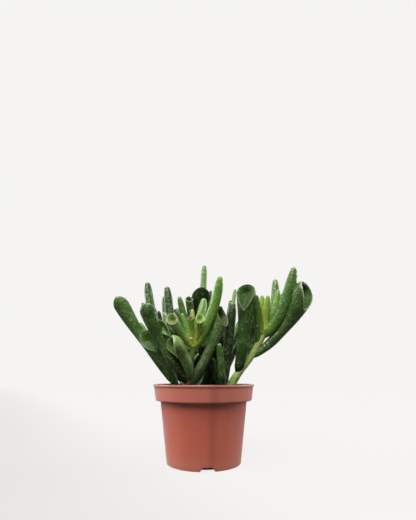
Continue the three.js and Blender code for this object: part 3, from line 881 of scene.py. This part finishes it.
# The leaves of the seven cuttings, from the photo. Leaves of the same kinds finish the rear.
# A row is a leaf's form, place on the stem, tip, widths, youth, bow and facing.
FINGER, BLADE, TUBE, TRUMPET, SPOON, SCOOP = Form
LEFT = (
    Leaf(SPOON, 0.3, (-52.6, -18, 114.8), (7, 7, 16), 0.3, (4.6, 0, -1), -100, lined=0.4, slant=1.15),
    Leaf(SPOON, 0.45, (-78.3, 0, 148.4), (6.4, 6.8, 14.6), 0.22, (0.4, 2, -4.5), 95, lined=0.15),
    Leaf(FINGER, 0.8, (-58, 2, 126), (4, 4.2, 1), 0.5, (-1, 0, 1)),
    Leaf(FINGER, 0.9, (-57, 8, 145.2), (4, 4.2, 1.5), 0.2),
    Leaf(FINGER, 0.85, (-52.4, 10, 164.6), (6.5, 9, 2.5), 0.15, (-4, 0, 0), -60),
    Leaf(SPOON, 0.5, (-34, 5, 112), (6, 7, 11), 0, (-1, 2, 0), -80),
    Leaf(BLADE, 0.95, (-35.2, 16, 163), (6, 8.6, 2), 0.12, (1.6, 2, 0)),
    Leaf(FINGER, 1, (-38, 18, 153.5), (5, 6, 2), 0.25, (-0.5, 2, 0)),
    Leaf(FINGER, 0.95, (-41.2, 4, 137), (3, 3.8, 1.2), 0),
)
FRONT = (
    Leaf(SCOOP, 0.34, (-46.9, -29, 135.8), (7.6, 9, 14), 0.1, (-4, 0, -1), 88, slant=1.1),
    Leaf(SCOOP, 0.3, (18, -18, 136.2), (8, 9, 16), 0.22, (3, 0, -1), -42,
         blush=0.12, lined=0.3, bloom=0.05, slant=1.1, hood=0.5),
    Leaf(SCOOP, 0.4, (-27, -38, 103.5), (6.5, 10, 19), 0.38, (3.7, -0.5, 3.9), -152,
         lined=0.8, bloom=0.14, slant=0.9, flare=0.5, hood=0.35, wrap=4),
    Leaf(FINGER, 0.46, (-28, -25, 101), (6, 7, 2), 0.05),
    Leaf(TRUMPET, 0.95, (-27.8, -34, 126), (5.4, 6.6, 9.8), 0.5, (1, 0, -2),
         blush=0.3, lined=1, bloom=0.18, slant=0.7, flare=0.5),
    Leaf(SPOON, 0.93, (-38.5, -31, 122), (4.5, 6, 8.6), 0.4, (1, 0, -4), -105, lined=1),
    Leaf(FINGER, 0.95, (-35, -12, 132), (3, 3.2, 1.2), 0.7),
    Leaf(SCOOP, 1, (-12.3, -26, 112), (3, 3.4, 4), 0.9, (0, -1, 0), -60),
    Leaf(TUBE, 1, (-10.8, -28, 126.2), (6, 5, 5.6), 0.6, (0, -1, 0), blush=0.8, slant=0.6),
    Leaf(FINGER, 1, (-9.6, -16, 134), (3.6, 4.2, 1.4), 0.7),
    Leaf(FINGER, 1, (-18.5, -16, 130.6), (4, 4.6, 1.4), 0.5),
    Leaf(TRUMPET, 1, (-2.7, -32, 126.8), (3.6, 3.8, 7.4), 0.7, (1, 0, -2), lined=1, slant=0.8, flare=0.45),
    Leaf(FINGER, 0.97, (13.6, -26, 158.8), (8, 8.6, 2.6), 0.5, (3.6, 0, -3), -100),
    Leaf(FINGER, 1, (0.4, -8, 145), (5, 8.4, 3), 0.5, (0.8, 0, 0), -72),
    Leaf(FINGER, 0.7, (-4.2, -22, 95.6), (2.6, 2.8, 1), 0.3),
    Leaf(FINGER, 0.5, (-16, -15, 113), (5.5, 6.5, 2), 0),
)
MIDDLE = (
    Leaf(FINGER, 0.36, (25.8, -9, 141), (7.5, 8.8, 2.5), 0),
    Leaf(SCOOP, 0.9, (27.2, 8, 148), (5, 6.6, 7.2), 0.2, (-1, 0, 0), -70, slant=0.8),
    Leaf(FINGER, 1, (29.6, 12, 158.8), (3.4, 4, 1.2), 0.5),
    Leaf(SPOON, 0.55, (11.5, -4, 123), (6, 7, 10), 0),
    Leaf(FINGER, 0.35, (12.9, -24, 104), (6, 6.4, 2), 0.25),
    Leaf(FINGER, 0.3, (8.2, -17, 92), (4.4, 4.8, 1.5), 0),
    Leaf(FINGER, 0.36, (3.5, -7, 98), (5.5, 6.5, 1.8), 0),
)
RIGHT = (
    Leaf(SPOON, 0.46, (34.9, -24, 153.4), (8, 10.8, 16.8), 0.18, (2.2, -1, 0), -112,
         lined=0.5, slant=1.3, hood=0.6, wrap=1.5),
    Leaf(FINGER, 0.74, (43.8, 0, 133.6), (4.5, 6, 1.5), 0.1, (1, 0, 0)),
    Leaf(SCOOP, 0.75, (89.9, -12, 158), (6, 9.4, 23.5), 0.15, (5.4, 3, -6), -43,
         lined=0.6, slant=0.93, flare=0.38, hood=0.7, wrap=2.6),
    Leaf(FINGER, 1, (78.4, -12, 171.2), (10, 11.2, 2.5), 0.3, (4, 0, -5), -80),
    Leaf(FINGER, 1, (44.2, -18, 146), (6.5, 8, 2), 0.4, (-1.5, 0, 0)),
    Leaf(FINGER, 1, (51.2, -8, 148), (5, 6, 1.7), 0.7),
    Leaf(FINGER, 1, (55.3, -14, 146.5), (6.5, 6.2, 1.6), 0.8),
    Leaf(FINGER, 0.9, (46.6, -13, 121), (4, 4.6, 1.6), 0),
    Leaf(FINGER, 1, (64.5, 0, 164.4), (6.5, 8, 1.8), 0.3, (4, 0, -1)),
    Leaf(FINGER, 1, (66, -6, 153.5), (5, 6, 1.6), 0.55, (2.5, 0, -1)),
    Leaf(FINGER, 1, (70.8, 4, 152.4), (3.5, 4, 1), 0.4, (3, 0, -1)),
    Leaf(FINGER, 1, (59.6, -2, 143), (5.5, 6, 1.5), 0.7),
    Leaf(SCOOP, 1, (60, 32, 141), (5, 6.5, 10), 0.2, (0, 3, -2), 60),
    Leaf(FINGER, 1, (74, 20, 146), (4.5, 5.5, 1.5), 0.5, (0, 2, -2), 90),
    Leaf(FINGER, 0.7, (49, 24, 124), (5, 6.5, 1.8), 0.1, (0, 3, -2), 90),
    Leaf(FINGER, 0.86, (47.5, 0, 130), (4, 4.8, 1.5), 0.1, (0, 0, 0), 90),
)
BACK = (
    Leaf(SPOON, 0.75, (-2, 14, 161.6), (8, 9, 20.5), 0, (0, 5, 0), 95, lined=0),
    Leaf(FINGER, 1, (0.8, 30, 187.6), (5, 6.8, 1.5), 0.5, (1, 2, 0)),
    Leaf(FINGER, 1, (7, 16, 159), (3.6, 4.6, 1.4), 0.3),
    Leaf(SPOON, 0.35, (1.5, 3, 121), (7, 8, 11), 0, (0, -1, 0)),
    Leaf(FINGER, 0.38, (-10, 0, 105), (6, 7, 2), 0),
    Leaf(SPOON, 0.55, (-17, 4, 119), (6, 7, 11), 0, (0, 0, 0), -100),
    Leaf(BLADE, 0.2, (8.6, -2, 106), (9, 10, 2.5), 0, (3, 0, -2)),
    Leaf(FINGER, 0.25, (8, 4, 124), (7, 9, 3), 0, (2, 0, -2)),
    Leaf(FINGER, 0.9, (-22.8, 8, 151.2), (5, 6.4, 1.6), 0.4, (-1.5, 0, 0)),
    Leaf(SCOOP, 1, (-13.8, 10, 152.2), (5.5, 6.8, 7.4), 0.2, (-1, 0, 0), -80, slant=0.8),
    Leaf(TUBE, 1, (-27.5, 24, 143.5), (5, 5.5, 6.5), 0.3, (0, 0, 0), -60),
)
REAR_RIGHT = (
    Leaf(SCOOP, 0.55, (40, 44, 134), (6, 8, 12), 0.1, (1, 1, -2), 40),
    Leaf(SPOON, 0.5, (19, 64, 128), (6, 8, 13), 0.1, (0, 3, -3), 80),
    Leaf(FINGER, 0.3, (25, 66, 106), (5, 6.5, 1.8), 0.1, (0, 3, -2), 90),
    Leaf(TRUMPET, 1, (8, 46, 143), (5, 6, 8.4), 0.4, (0, 0, 0), 100),
    Leaf(FINGER, 1, (28, 42, 140), (4.5, 5.5, 1.5), 0.5, (0, 0, 0), 90),
    Leaf(FINGER, 0.3, (12, 62, 94), (5, 6, 1.8), 0.1, (0, 2, -2), 90),
    Leaf(TUBE, 1, (19, 46, 136), (4, 4.6, 5.4), 0.6, (0, 0, 0), 90),
    Leaf(FINGER, 0.4, (14, 10, 128), (8, 10, 3), 0),
    Leaf(FINGER, 0.3, (0, 20, 104), (7, 9, 2.5), 0, (-4, 0, -5)),
    Leaf(FINGER, 1, (36, 33, 131), (3.6, 4.4, 1.4), 0.4, (0, 0, 0), 30),
    Leaf(FINGER, 0.6, (37, 20, 118), (5, 6.5, 1.8), 0.1, (0, 0, -1), 0),
)
REAR_LEFT = (
    Leaf(FINGER, 0.35, (-25, 12, 122), (6, 8, 2.4), 0),
    Leaf(SCOOP, 0.55, (-47, 40, 134), (6, 8, 12), 0.1, (-1, 1, -2), 140),
    Leaf(SPOON, 0.6, (-24, 60, 138), (6, 8, 13.5), 0.1, (0, 3, -3), 100),
    Leaf(FINGER, 0.4, (-60, 32, 117), (5, 7, 1.8), 0.1, (-1, 1, -2), 120),
    Leaf(FINGER, 0.3, (-38, 60, 106), (5, 6.5, 1.8), 0.1, (0, 3, -2), 110),
    Leaf(TRUMPET, 1, (-12, 50, 138), (5, 5.6, 8), 0.4, (0, 0, 0), 80),
    Leaf(FINGER, 1, (-30, 44, 142), (4.5, 5.5, 1.5), 0.5, (0, 0, 0), 90),
    Leaf(FINGER, 0.7, (-44, 12, 122), (4.6, 6, 1.8), 0.1, (-1, 0, -1), 180),
    Leaf(FINGER, 1, (-20, 34, 147), (3.6, 4.4, 1.4), 0.5, (0, 0, 0), 90),
    Leaf(FINGER, 0.28, (-13, 58, 98), (5, 6, 1.8), 0.1, (0, 3, -2), 90),
)
CUTTINGS = (
    Cutting("leafy_stem_left", ((-22, -5, 52), (-24.2, -5, 66), (-27.2, -3, 77), (-31, 0, 90)),
            (3.4, 3.3, 2.9, 2.3), LEFT),
    Cutting("leafy_stem_front", ((-14, -21, 52), (-11.5, -21.5, 70), (-11, -21.5, 86), (-8.5, -20, 103)),
            (3.8, 3.4, 3, 2.6), FRONT, woody=60),
    Cutting("leafy_stem_middle", ((14, -15, 52), (16.5, -15, 66), (18.5, -12, 80), (20, -6, 96)),
            (3.4, 3.2, 2.7, 2.2), MIDDLE),
    Cutting("leafy_stem_right",
            ((21.5, -5, 52), (22.8, -6, 66), (31.4, -8, 81), (41, -8, 93.5), (52, -8, 112.5)),
            (4.2, 4, 3.3, 3, 2.9), RIGHT, woody=8, fresh=0.75),
    Cutting("leafy_stem_back", ((-3, 8, 52), (-4, 9, 70), (-5, 11, 88), (-6, 13, 106)),
            (3.6, 3.4, 3, 2.4), BACK),
    Cutting("leafy_stem_rear_right", ((15, 20, 52), (17, 22, 68), (20, 26, 84), (22, 30, 100)),
            (3.4, 3.2, 2.8, 2.3), REAR_RIGHT),
    Cutting("leafy_stem_rear_left", ((-16, 16, 52), (-18, 19, 68), (-21, 24, 84), (-23, 28, 100)),
            (3.4, 3.2, 2.8, 2.3), REAR_LEFT),
)


@dataclass(frozen=True)
class MouldedPolypropylene:
    """Injection-moulded polypropylene, terracotta coloured.

    To the eye: a satin skin that takes soft wide highlights, faintly streaked by the flow of
    the melt, with a fine mould texture and a darker stripe of painted shade a little right of
    the front. The rim band is painted paler as painted light, dust pales the edges and dulls
    the foot, and painted shade darkens the inside and the lip's top.
    """

    name: str = "moulded polypropylene, satin"
    body: str = "#b45a45"
    flow: str = "#a7503d"
    dust: str = "#a86c5c"
    # Painted light: the rim band drawn paler, as if it caught more light than the wall.
    painted_band_light: str = "#d78c7c"
    # Painted shade: a darker stripe a little right of the front, where the side lights leave a gap.
    painted_shade_stripe: str = "#6f3325"
    # Painted shade inside the pot and on the lip's top.
    stain: str = "#2a1c15"
    roughness: float = 0.34
    smeared: tuple[float, float] = (-0.05, 0.07)
    specular: float = 0.8
    dusting: float = 0.25
    dust_roughness: float = 0.4
    ior: float = 1.49
    # A mould's grain is about 0.1 mm, and is drawn coarser so that it shows.
    grain: float = 0.35 * MM
    grain_depth: float = 0.02 * MM
    grain_strength: float = 0.12
    flow_width: float = 9 * MM
    flow_squeeze: float = 0.25
    speck: float = 1.5 * MM
    dusty_up_to: float = 14 * MM
    band: tuple[float, float] = (55 * MM, 56 * MM)
    painted_band_light_share: float = 0.25
    # Where the painted shade stripe lies, in radians right of the front, its reach and its share.
    painted_shade_angle: float = 0.19
    painted_shade_reach: float = 0.16
    painted_shade_share: float = 0.3

    def material(self) -> Material:
        """Build the plastic's nodes.

        Returns:
            The plastic's material.
        """
        made, add, shader = new_material(self.name)
        place = add("TexCoord", output="Object")
        drawn = add("Mapping", {"Vector": place, "Scale": (1, 1, self.flow_squeeze)})
        noises = ((drawn, self.flow_width, 3.0), (place, self.speck, 5.0), (place, self.grain, 2.0))
        streak, speck, grain = (
            add("TexNoise", {"Vector": way, "Scale": 1 / size, "Detail": detail})
            for way, size, detail in noises
        )
        x, y, high = add("SeparateXYZ", {0: place}).node.outputs
        foot = add("MapRange", {"Value": high, "From Min": self.dusty_up_to, "From Max": 0.0})
        dusty = add("Math", {0: foot, 1: speck}, operation="MULTIPLY")
        # Painted light on the rim band, mixed in above the band's foot.
        start, full = self.band
        band = add("MapRange", {"Value": high, "From Min": start, "From Max": full, "To Max": self.painted_band_light_share})
        # The painted shade stripe: darkest at its angle from the front, fading over its reach.
        front = add("Math", {0: y, 1: -1.0}, operation="MULTIPLY")
        turn = add("Math", {0: x, 1: front}, operation="ARCTAN2")
        off = add("Math", {0: turn, 1: self.painted_shade_angle}, operation="SUBTRACT")
        off = add("Math", {0: off}, operation="ABSOLUTE")
        stripe = {"Value": off, "From Max": self.painted_shade_reach, "To Min": self.painted_shade_share, "To Max": 0.0}
        painted_shade_stripe = add("MapRange", stripe, interpolation_type="SMOOTHSTEP")
        # The mark of painted shade inside the pot and on the lip's top.
        stain = add("Attribute", output="Fac", attribute_name="stain")
        shares = (streak, dusty, band, painted_shade_stripe, stain)
        colour = srgb(self.flow)
        for share, tint in zip(shares, (self.body, self.dust, self.painted_band_light, self.painted_shade_stripe, self.stain)):
            colour = add("Mix", {0: share, 6: colour, 7: srgb(tint)}, 2, data_type="RGBA")
        low, high = (self.roughness + change for change in self.smeared)
        dull = add("MapRange", {"Value": speck, "To Min": low, "To Max": high})
        bump = add("Bump", {"Height": grain, "Strength": self.grain_strength, "Distance": self.grain_depth})
        feed(shader, {"Base Color": colour, "Roughness": dull, "Normal": bump, "IOR": self.ior})
        feed(shader, {"Specular IOR Level": self.specular, "Sheen Weight": self.dusting})
        feed(shader, {"Sheen Roughness": self.dust_roughness})
        return made


@dataclass(frozen=True)
class PottingSoil:
    """Moist peat with crumbs of bark: dark, matt and broken, each crumb in its own brown."""

    name: str = "potting soil, moist peat and bark"
    peat: str = "#1d140e"
    bark: str = "#54402f"
    roughness: float = 0.93
    crumb: float = 1.2 * MM
    relief: float = 0.3 * MM
    relief_strength: float = 0.8

    def material(self) -> Material:
        """Build the soil's nodes.

        Returns:
            The soil's material.
        """
        made, add, shader = new_material(self.name)
        place = add("TexCoord", output="Object")
        tone = add("Attribute", output="Fac", attribute_name="tone")
        grit = add("TexNoise", {"Vector": place, "Scale": 1 / self.crumb, "Detail": 6.0})
        share = add("Math", {0: tone, 1: grit}, operation="MULTIPLY")
        colour = add("Mix", {0: share, 6: srgb(self.peat), 7: srgb(self.bark)}, 2, data_type="RGBA")
        bump = add("Bump", {"Height": grit, "Strength": self.relief_strength, "Distance": self.relief})
        feed(shader, {"Base Color": colour, "Normal": bump, "Roughness": self.roughness})
        return made


@dataclass(frozen=True)
class SucculentSkin:
    """The waxy skin of a water-storing leaf. Its patterns' sizes are in millimetres.

    To the eye: deep green under a glossy cuticle, sprinkled with pale water pores drawn
    brighter as painted glints, brighter and yellower in young leaves, with a pale rim round
    a mouth darkened by painted shade, a pale waxy bloom on some, and corky brown on the old
    stem.
    """

    name: str = "succulent leaf, waxy cuticle"
    ages: tuple[tuple[float, str], ...] = (
        (0.0, "#16250c"),
        (0.15, "#2f4a1a"),
        (0.35, "#41651f"),
        (0.65, "#5d8528"),
        (1.0, "#afb944"),
    )
    # Pale pores, drawn also as painted glints.
    pore_glint: str = "#bccb98"
    rim: str = "#a9b685"
    # Painted shade: the colour that darkens the inside of a leaf's mouth.
    mouth: str = "#2d4a16"
    blush: str = "#6f4638"
    bark: str = "#3b3020"
    roughness: float = 0.33
    mouth_roughness: float = 0.6
    shine: float = 0.36
    mouth_shine: float = 0.05
    ior: float = 1.45
    # A real pore is about 0.2 mm across. It is drawn coarser, in shares of the spacing, and paler, as painted
    # glints as well as pores.
    pore_glint_spacing: float = 1.1
    pore_glint_size: float = 0.4
    pore_glint_core: float = 0.1
    pore_glint_field: float = 7.0
    pore_glint_patches: tuple[float, float] = (0.36, 0.6)
    pore_glint_strength: float = 0.7
    old: float = 0.12
    old_liveliness: float = 0.45
    uneven: float = 0.12
    patch: float = 14.0
    grain: float = 0.5
    grain_depth: float = 0.05 * MM
    grain_strength: float = 0.25
    lumps: float = 2.4
    lump_depth: float = 0.7 * MM
    lump_strength: float = 0.8

    def material(self) -> Material:
        """Build the leaf's nodes. The pattern's scale is per millimetre of leaf_place.

        Returns:
            The leaf's material.
        """
        made, add, shader = new_material(self.name)
        place = add("Attribute", output="Vector", attribute_name="leaf_place")
        rim, mouth, young, blush, bark = (
            add("Attribute", output="Fac", attribute_name=label)
            for label in ("rim", "mouth", "young", "blush", "bark")
        )
        noises = ((self.patch, 3.0), (self.pore_glint_field, 2.0), (self.grain, 3.0), (self.lumps, 1.0))
        patch, field, grain, lumps = (
            add("TexNoise", {"Vector": place, "Scale": 1 / size, "Detail": detail})
            for size, detail in noises
        )
        uneven = add("MapRange", {"Value": patch, "To Min": -self.uneven, "To Max": self.uneven})
        age = add("Math", {0: young, 1: uneven}, operation="ADD")
        colour = add("ValToRGB", {0: age})
        stops = colour.node.color_ramp.elements
        for _ in self.ages[2:]:
            stops.new(0.5)
        for stop, (position, tint) in zip(stops, self.ages):
            stop.position, stop.color = position, srgb(tint)
        lively = add("MapRange", {"Value": young, "From Max": self.old, "To Min": self.old_liveliness})
        # The pale dots, pores and painted glints, fewer on old dark leaves.
        pores = add("TexVoronoi", {"Vector": place, "Scale": 1 / self.pore_glint_spacing})
        pore_glint_dot = add("MapRange", {"Value": pores, "From Min": self.pore_glint_size, "From Max": self.pore_glint_core})
        start, full = self.pore_glint_patches
        patches = {"Value": field, "From Min": start, "From Max": full, "To Max": self.pore_glint_strength}
        some = add("MapRange", patches)
        some = add("Math", {0: some, 1: lively}, operation="MULTIPLY")
        pore_glint_dot = add("Math", {0: pore_glint_dot, 1: some}, operation="MULTIPLY")
        shares = (pore_glint_dot, rim, mouth, blush, bark)
        for share, tint in zip(shares, (self.pore_glint, self.rim, self.mouth, self.blush, self.bark)):
            colour = add("Mix", {0: share, 6: colour, 7: srgb(tint)}, 2, data_type="RGBA")
        dull = add("MapRange", {"Value": mouth, "To Min": self.roughness, "To Max": self.mouth_roughness})
        shine = add("MapRange", {"Value": mouth, "To Min": self.shine, "To Max": self.mouth_shine})
        shine = add("Math", {0: shine, 1: lively}, operation="MULTIPLY")
        lumpy = add("Bump", {"Height": lumps, "Strength": self.lump_strength, "Distance": self.lump_depth})
        relief = {"Height": grain, "Strength": self.grain_strength, "Distance": self.grain_depth}
        bump = add("Bump", {**relief, "Normal": lumpy})
        feed(shader, {"Base Color": colour, "Roughness": dull, "Normal": bump})
        feed(shader, {"Specular IOR Level": shine, "IOR": self.ior})
        return made


@dataclass(frozen=True)
class StudioSet:
    """A pale floor that runs out to a pale surround, soft light from both sides, and the camera.

    Lengths are in metres. The greyer corner lies along `corner_way`, and fades in and out over
    its two distances; the focal length and the axis' place are in the picture's pixels.
    """

    surround: str = "#f5f4f2"
    corner: str = "#e8e4e1"
    corner_way: Triple = (-1.0, -0.63, 0)
    corner_from: tuple[float, float] = (-0.02, 0.2)
    corner_until: tuple[float, float] = (0.3, 3.0)
    floor: str = "#a3a1a0"
    floor_roughness: float = 0.9
    floor_radius: float = 6.0
    floor_gap: float = 0.02 * MM
    matt_share: float = 0.08
    uplight: float = 0.12
    front: float = 0.1
    behind: float = 0.85
    dimmed: tuple[float, float] = (-0.85, 0.1)
    left: float = 2.1
    right: float = 2.0
    above: float = 5.6
    focal_pixels: float = 321.0
    image_width: int = 416
    image_height: int = 520
    axis_x: float = 203.65
    axis_y: float = 378.0
    eye: Triple = (0.0, -0.29, 0.0755)

    FLOOR_SIDES, FLOOR_EDGE, FLOOR_DEPTHS = 96, 0.999, (2, 1.5, 1)

    def acrylic(self) -> Material:
        """White acrylic lit from below: it shows the surround's colour and takes a faint shadow.

        Towards the front left it is a little greyer, by a smooth step along that way that fades
        out with distance, so that no horizon shows.

        Returns:
            The acrylic's material.
        """
        made, add, matt = new_material("white acrylic, lit from below")
        feed(matt, {"Base Color": srgb(self.floor), "Roughness": self.floor_roughness})
        feed(matt, {"Specular IOR Level": 0.0})
        place = add("TexCoord", output="Object")
        along = add("VectorMath", {0: place, 1: self.corner_way}, "Value", operation="DOT_PRODUCT")
        start, full = self.corner_from
        step = {"Value": along, "From Min": start, "From Max": full}
        grey = add("MapRange", step, interpolation_type="SMOOTHSTEP")
        away = add("VectorMath", {0: place}, "Value", operation="LENGTH")
        start, full = self.corner_until
        fade = {"Value": away, "From Min": start, "From Max": full, "To Min": 1.0, "To Max": 0.0}
        near = add("MapRange", fade)
        share = add("Math", {0: grey, 1: near}, operation="MULTIPLY")
        colour = add("Mix", {0: share, 6: srgb(self.surround), 7: srgb(self.corner)}, 2, data_type="RGBA")
        seen = add("LightPath", output="Is Camera Ray")
        power = add("MapRange", {"Value": seen, "To Min": self.uplight, "To Max": 1.0})
        glow = add("Emission", {"Color": colour, "Strength": power})
        taken = add("Math", {0: near, 1: self.matt_share}, operation="MULTIPLY")
        both = add("MixShader", {0: taken, 1: glow, 2: matt.outputs[0]})
        feed(made.node_tree.nodes["Material Output"], {"Surface": both})
        return made

    def stage_floor(self) -> Object:
        """Lay a flat round floor just under the pot.

        Returns:
            The floor.
        """
        ring = circle(around(self.FLOOR_SIDES), self.floor_radius)
        sunk = np.array([0, 0, -self.floor_gap])
        rings = np.stack([ring * self.FLOOR_EDGE, ring, ring * self.FLOOR_EDGE])
        rings = rings + np.array(self.FLOOR_DEPTHS)[:, None, None] * sunk
        floor = Skin.from_rings(2 * sunk, rings, sunk, {}).to_object("floor", self.acrylic(), crease=30)
        return floor

    def light(self, name: str, strength: float, azimuth: float, height: float, spread: float) -> None:
        """One soft light, far away.

        Args:
            name: The light's name.
            strength: Irradiance in watts per square metre.
            azimuth: Compass angle that it stands at, -90 being the front.
            height: Its angle above the floor.
            spread: Its apparent size in degrees.
        """
        lamp = bpy.data.lights.new(name, "SUN")
        lamp.energy = strength
        lamp.angle = math.radians(spread)
        link(name, lamp).rotation_euler = (math.radians(90 - height), 0, math.radians(azimuth + 90))

    def surroundings(self) -> None:
        """A pale surround whose light is dimmer from the front, where the room is dark.

        The light is a smooth step along Y, from `front` to `behind`. The surround itself shows
        in its plain colour.
        """
        world = bpy.data.worlds.new("surround")
        world.use_nodes = True
        tree, add = world.node_tree, partial(add_node, world.node_tree)
        way = add("TexCoord", output="Generated")
        depth = add("SeparateXYZ", {0: way}, "Y")
        start, full = self.dimmed
        step = {"Value": depth, "From Min": start, "From Max": full, "To Min": self.front}
        level = add("MapRange", step | {"To Max": self.behind}, interpolation_type="SMOOTHSTEP")
        light = tree.nodes["Background"]
        feed(light, {"Color": (1, 1, 1, 1), "Strength": level})
        seen = add("LightPath", output="Is Camera Ray")
        plain = add("Background", {"Color": srgb(self.surround)})
        both = add("MixShader", {0: seen, 1: light.outputs[0], 2: plain})
        feed(tree.nodes["World Output"], {"Surface": both})
        bpy.context.scene.world = world

    def camera(self) -> None:
        """The photo's view: level, in front of the pot's axis, its picture shifted to the framing."""
        lens = bpy.data.cameras.new("view")
        lens.sensor_fit = "VERTICAL"
        lens.sensor_height = 24.0
        lens.lens = lens.sensor_height * self.focal_pixels / self.image_height
        lens.shift_x = (self.image_width / 2 - self.axis_x) / self.image_height
        lens.shift_y = (self.axis_y - self.image_height / 2) / self.image_height
        lens.clip_start = 0.01
        stand = link("view", lens)
        stand.location = self.eye
        stand.rotation_euler = (math.radians(90), 0, 0)
        bpy.context.scene.camera = stand

    def build(self) -> None:
        """Set the stage: floor, surround, lights, camera and a plain rendition of colour."""
        self.stage_floor()
        self.surroundings()
        self.light("left softbox", self.left, azimuth=165, height=22, spread=30)
        self.light("right softbox", self.right, azimuth=18, height=22, spread=30)
        self.light("top softbox", self.above, azimuth=-108, height=60, spread=44)
        self.camera()
        bpy.context.scene.view_settings.view_transform = "Standard"


def main() -> None:
    """Build the pot, the soil, the cuttings and the studio, in that order."""
    logging.basicConfig(level=logging.INFO, format="%(name)s: %(message)s")
    leaf = SucculentSkin().material()
    pieces = [NurseryPot().build(MouldedPolypropylene().material())]
    stems = np.array([cutting.route[0][:2] for cutting in CUTTINGS])
    pieces.append(SoilBed().build(stems, PottingSoil().material()))
    pieces += [cutting.build(number, leaf) for number, cutting in enumerate(CUTTINGS, start=1)]
    for piece in pieces:
        log.info("%s: %d faces", piece.name, len(piece.data.polygons))
    StudioSet().build()


if __name__ == "__main__":
    main()
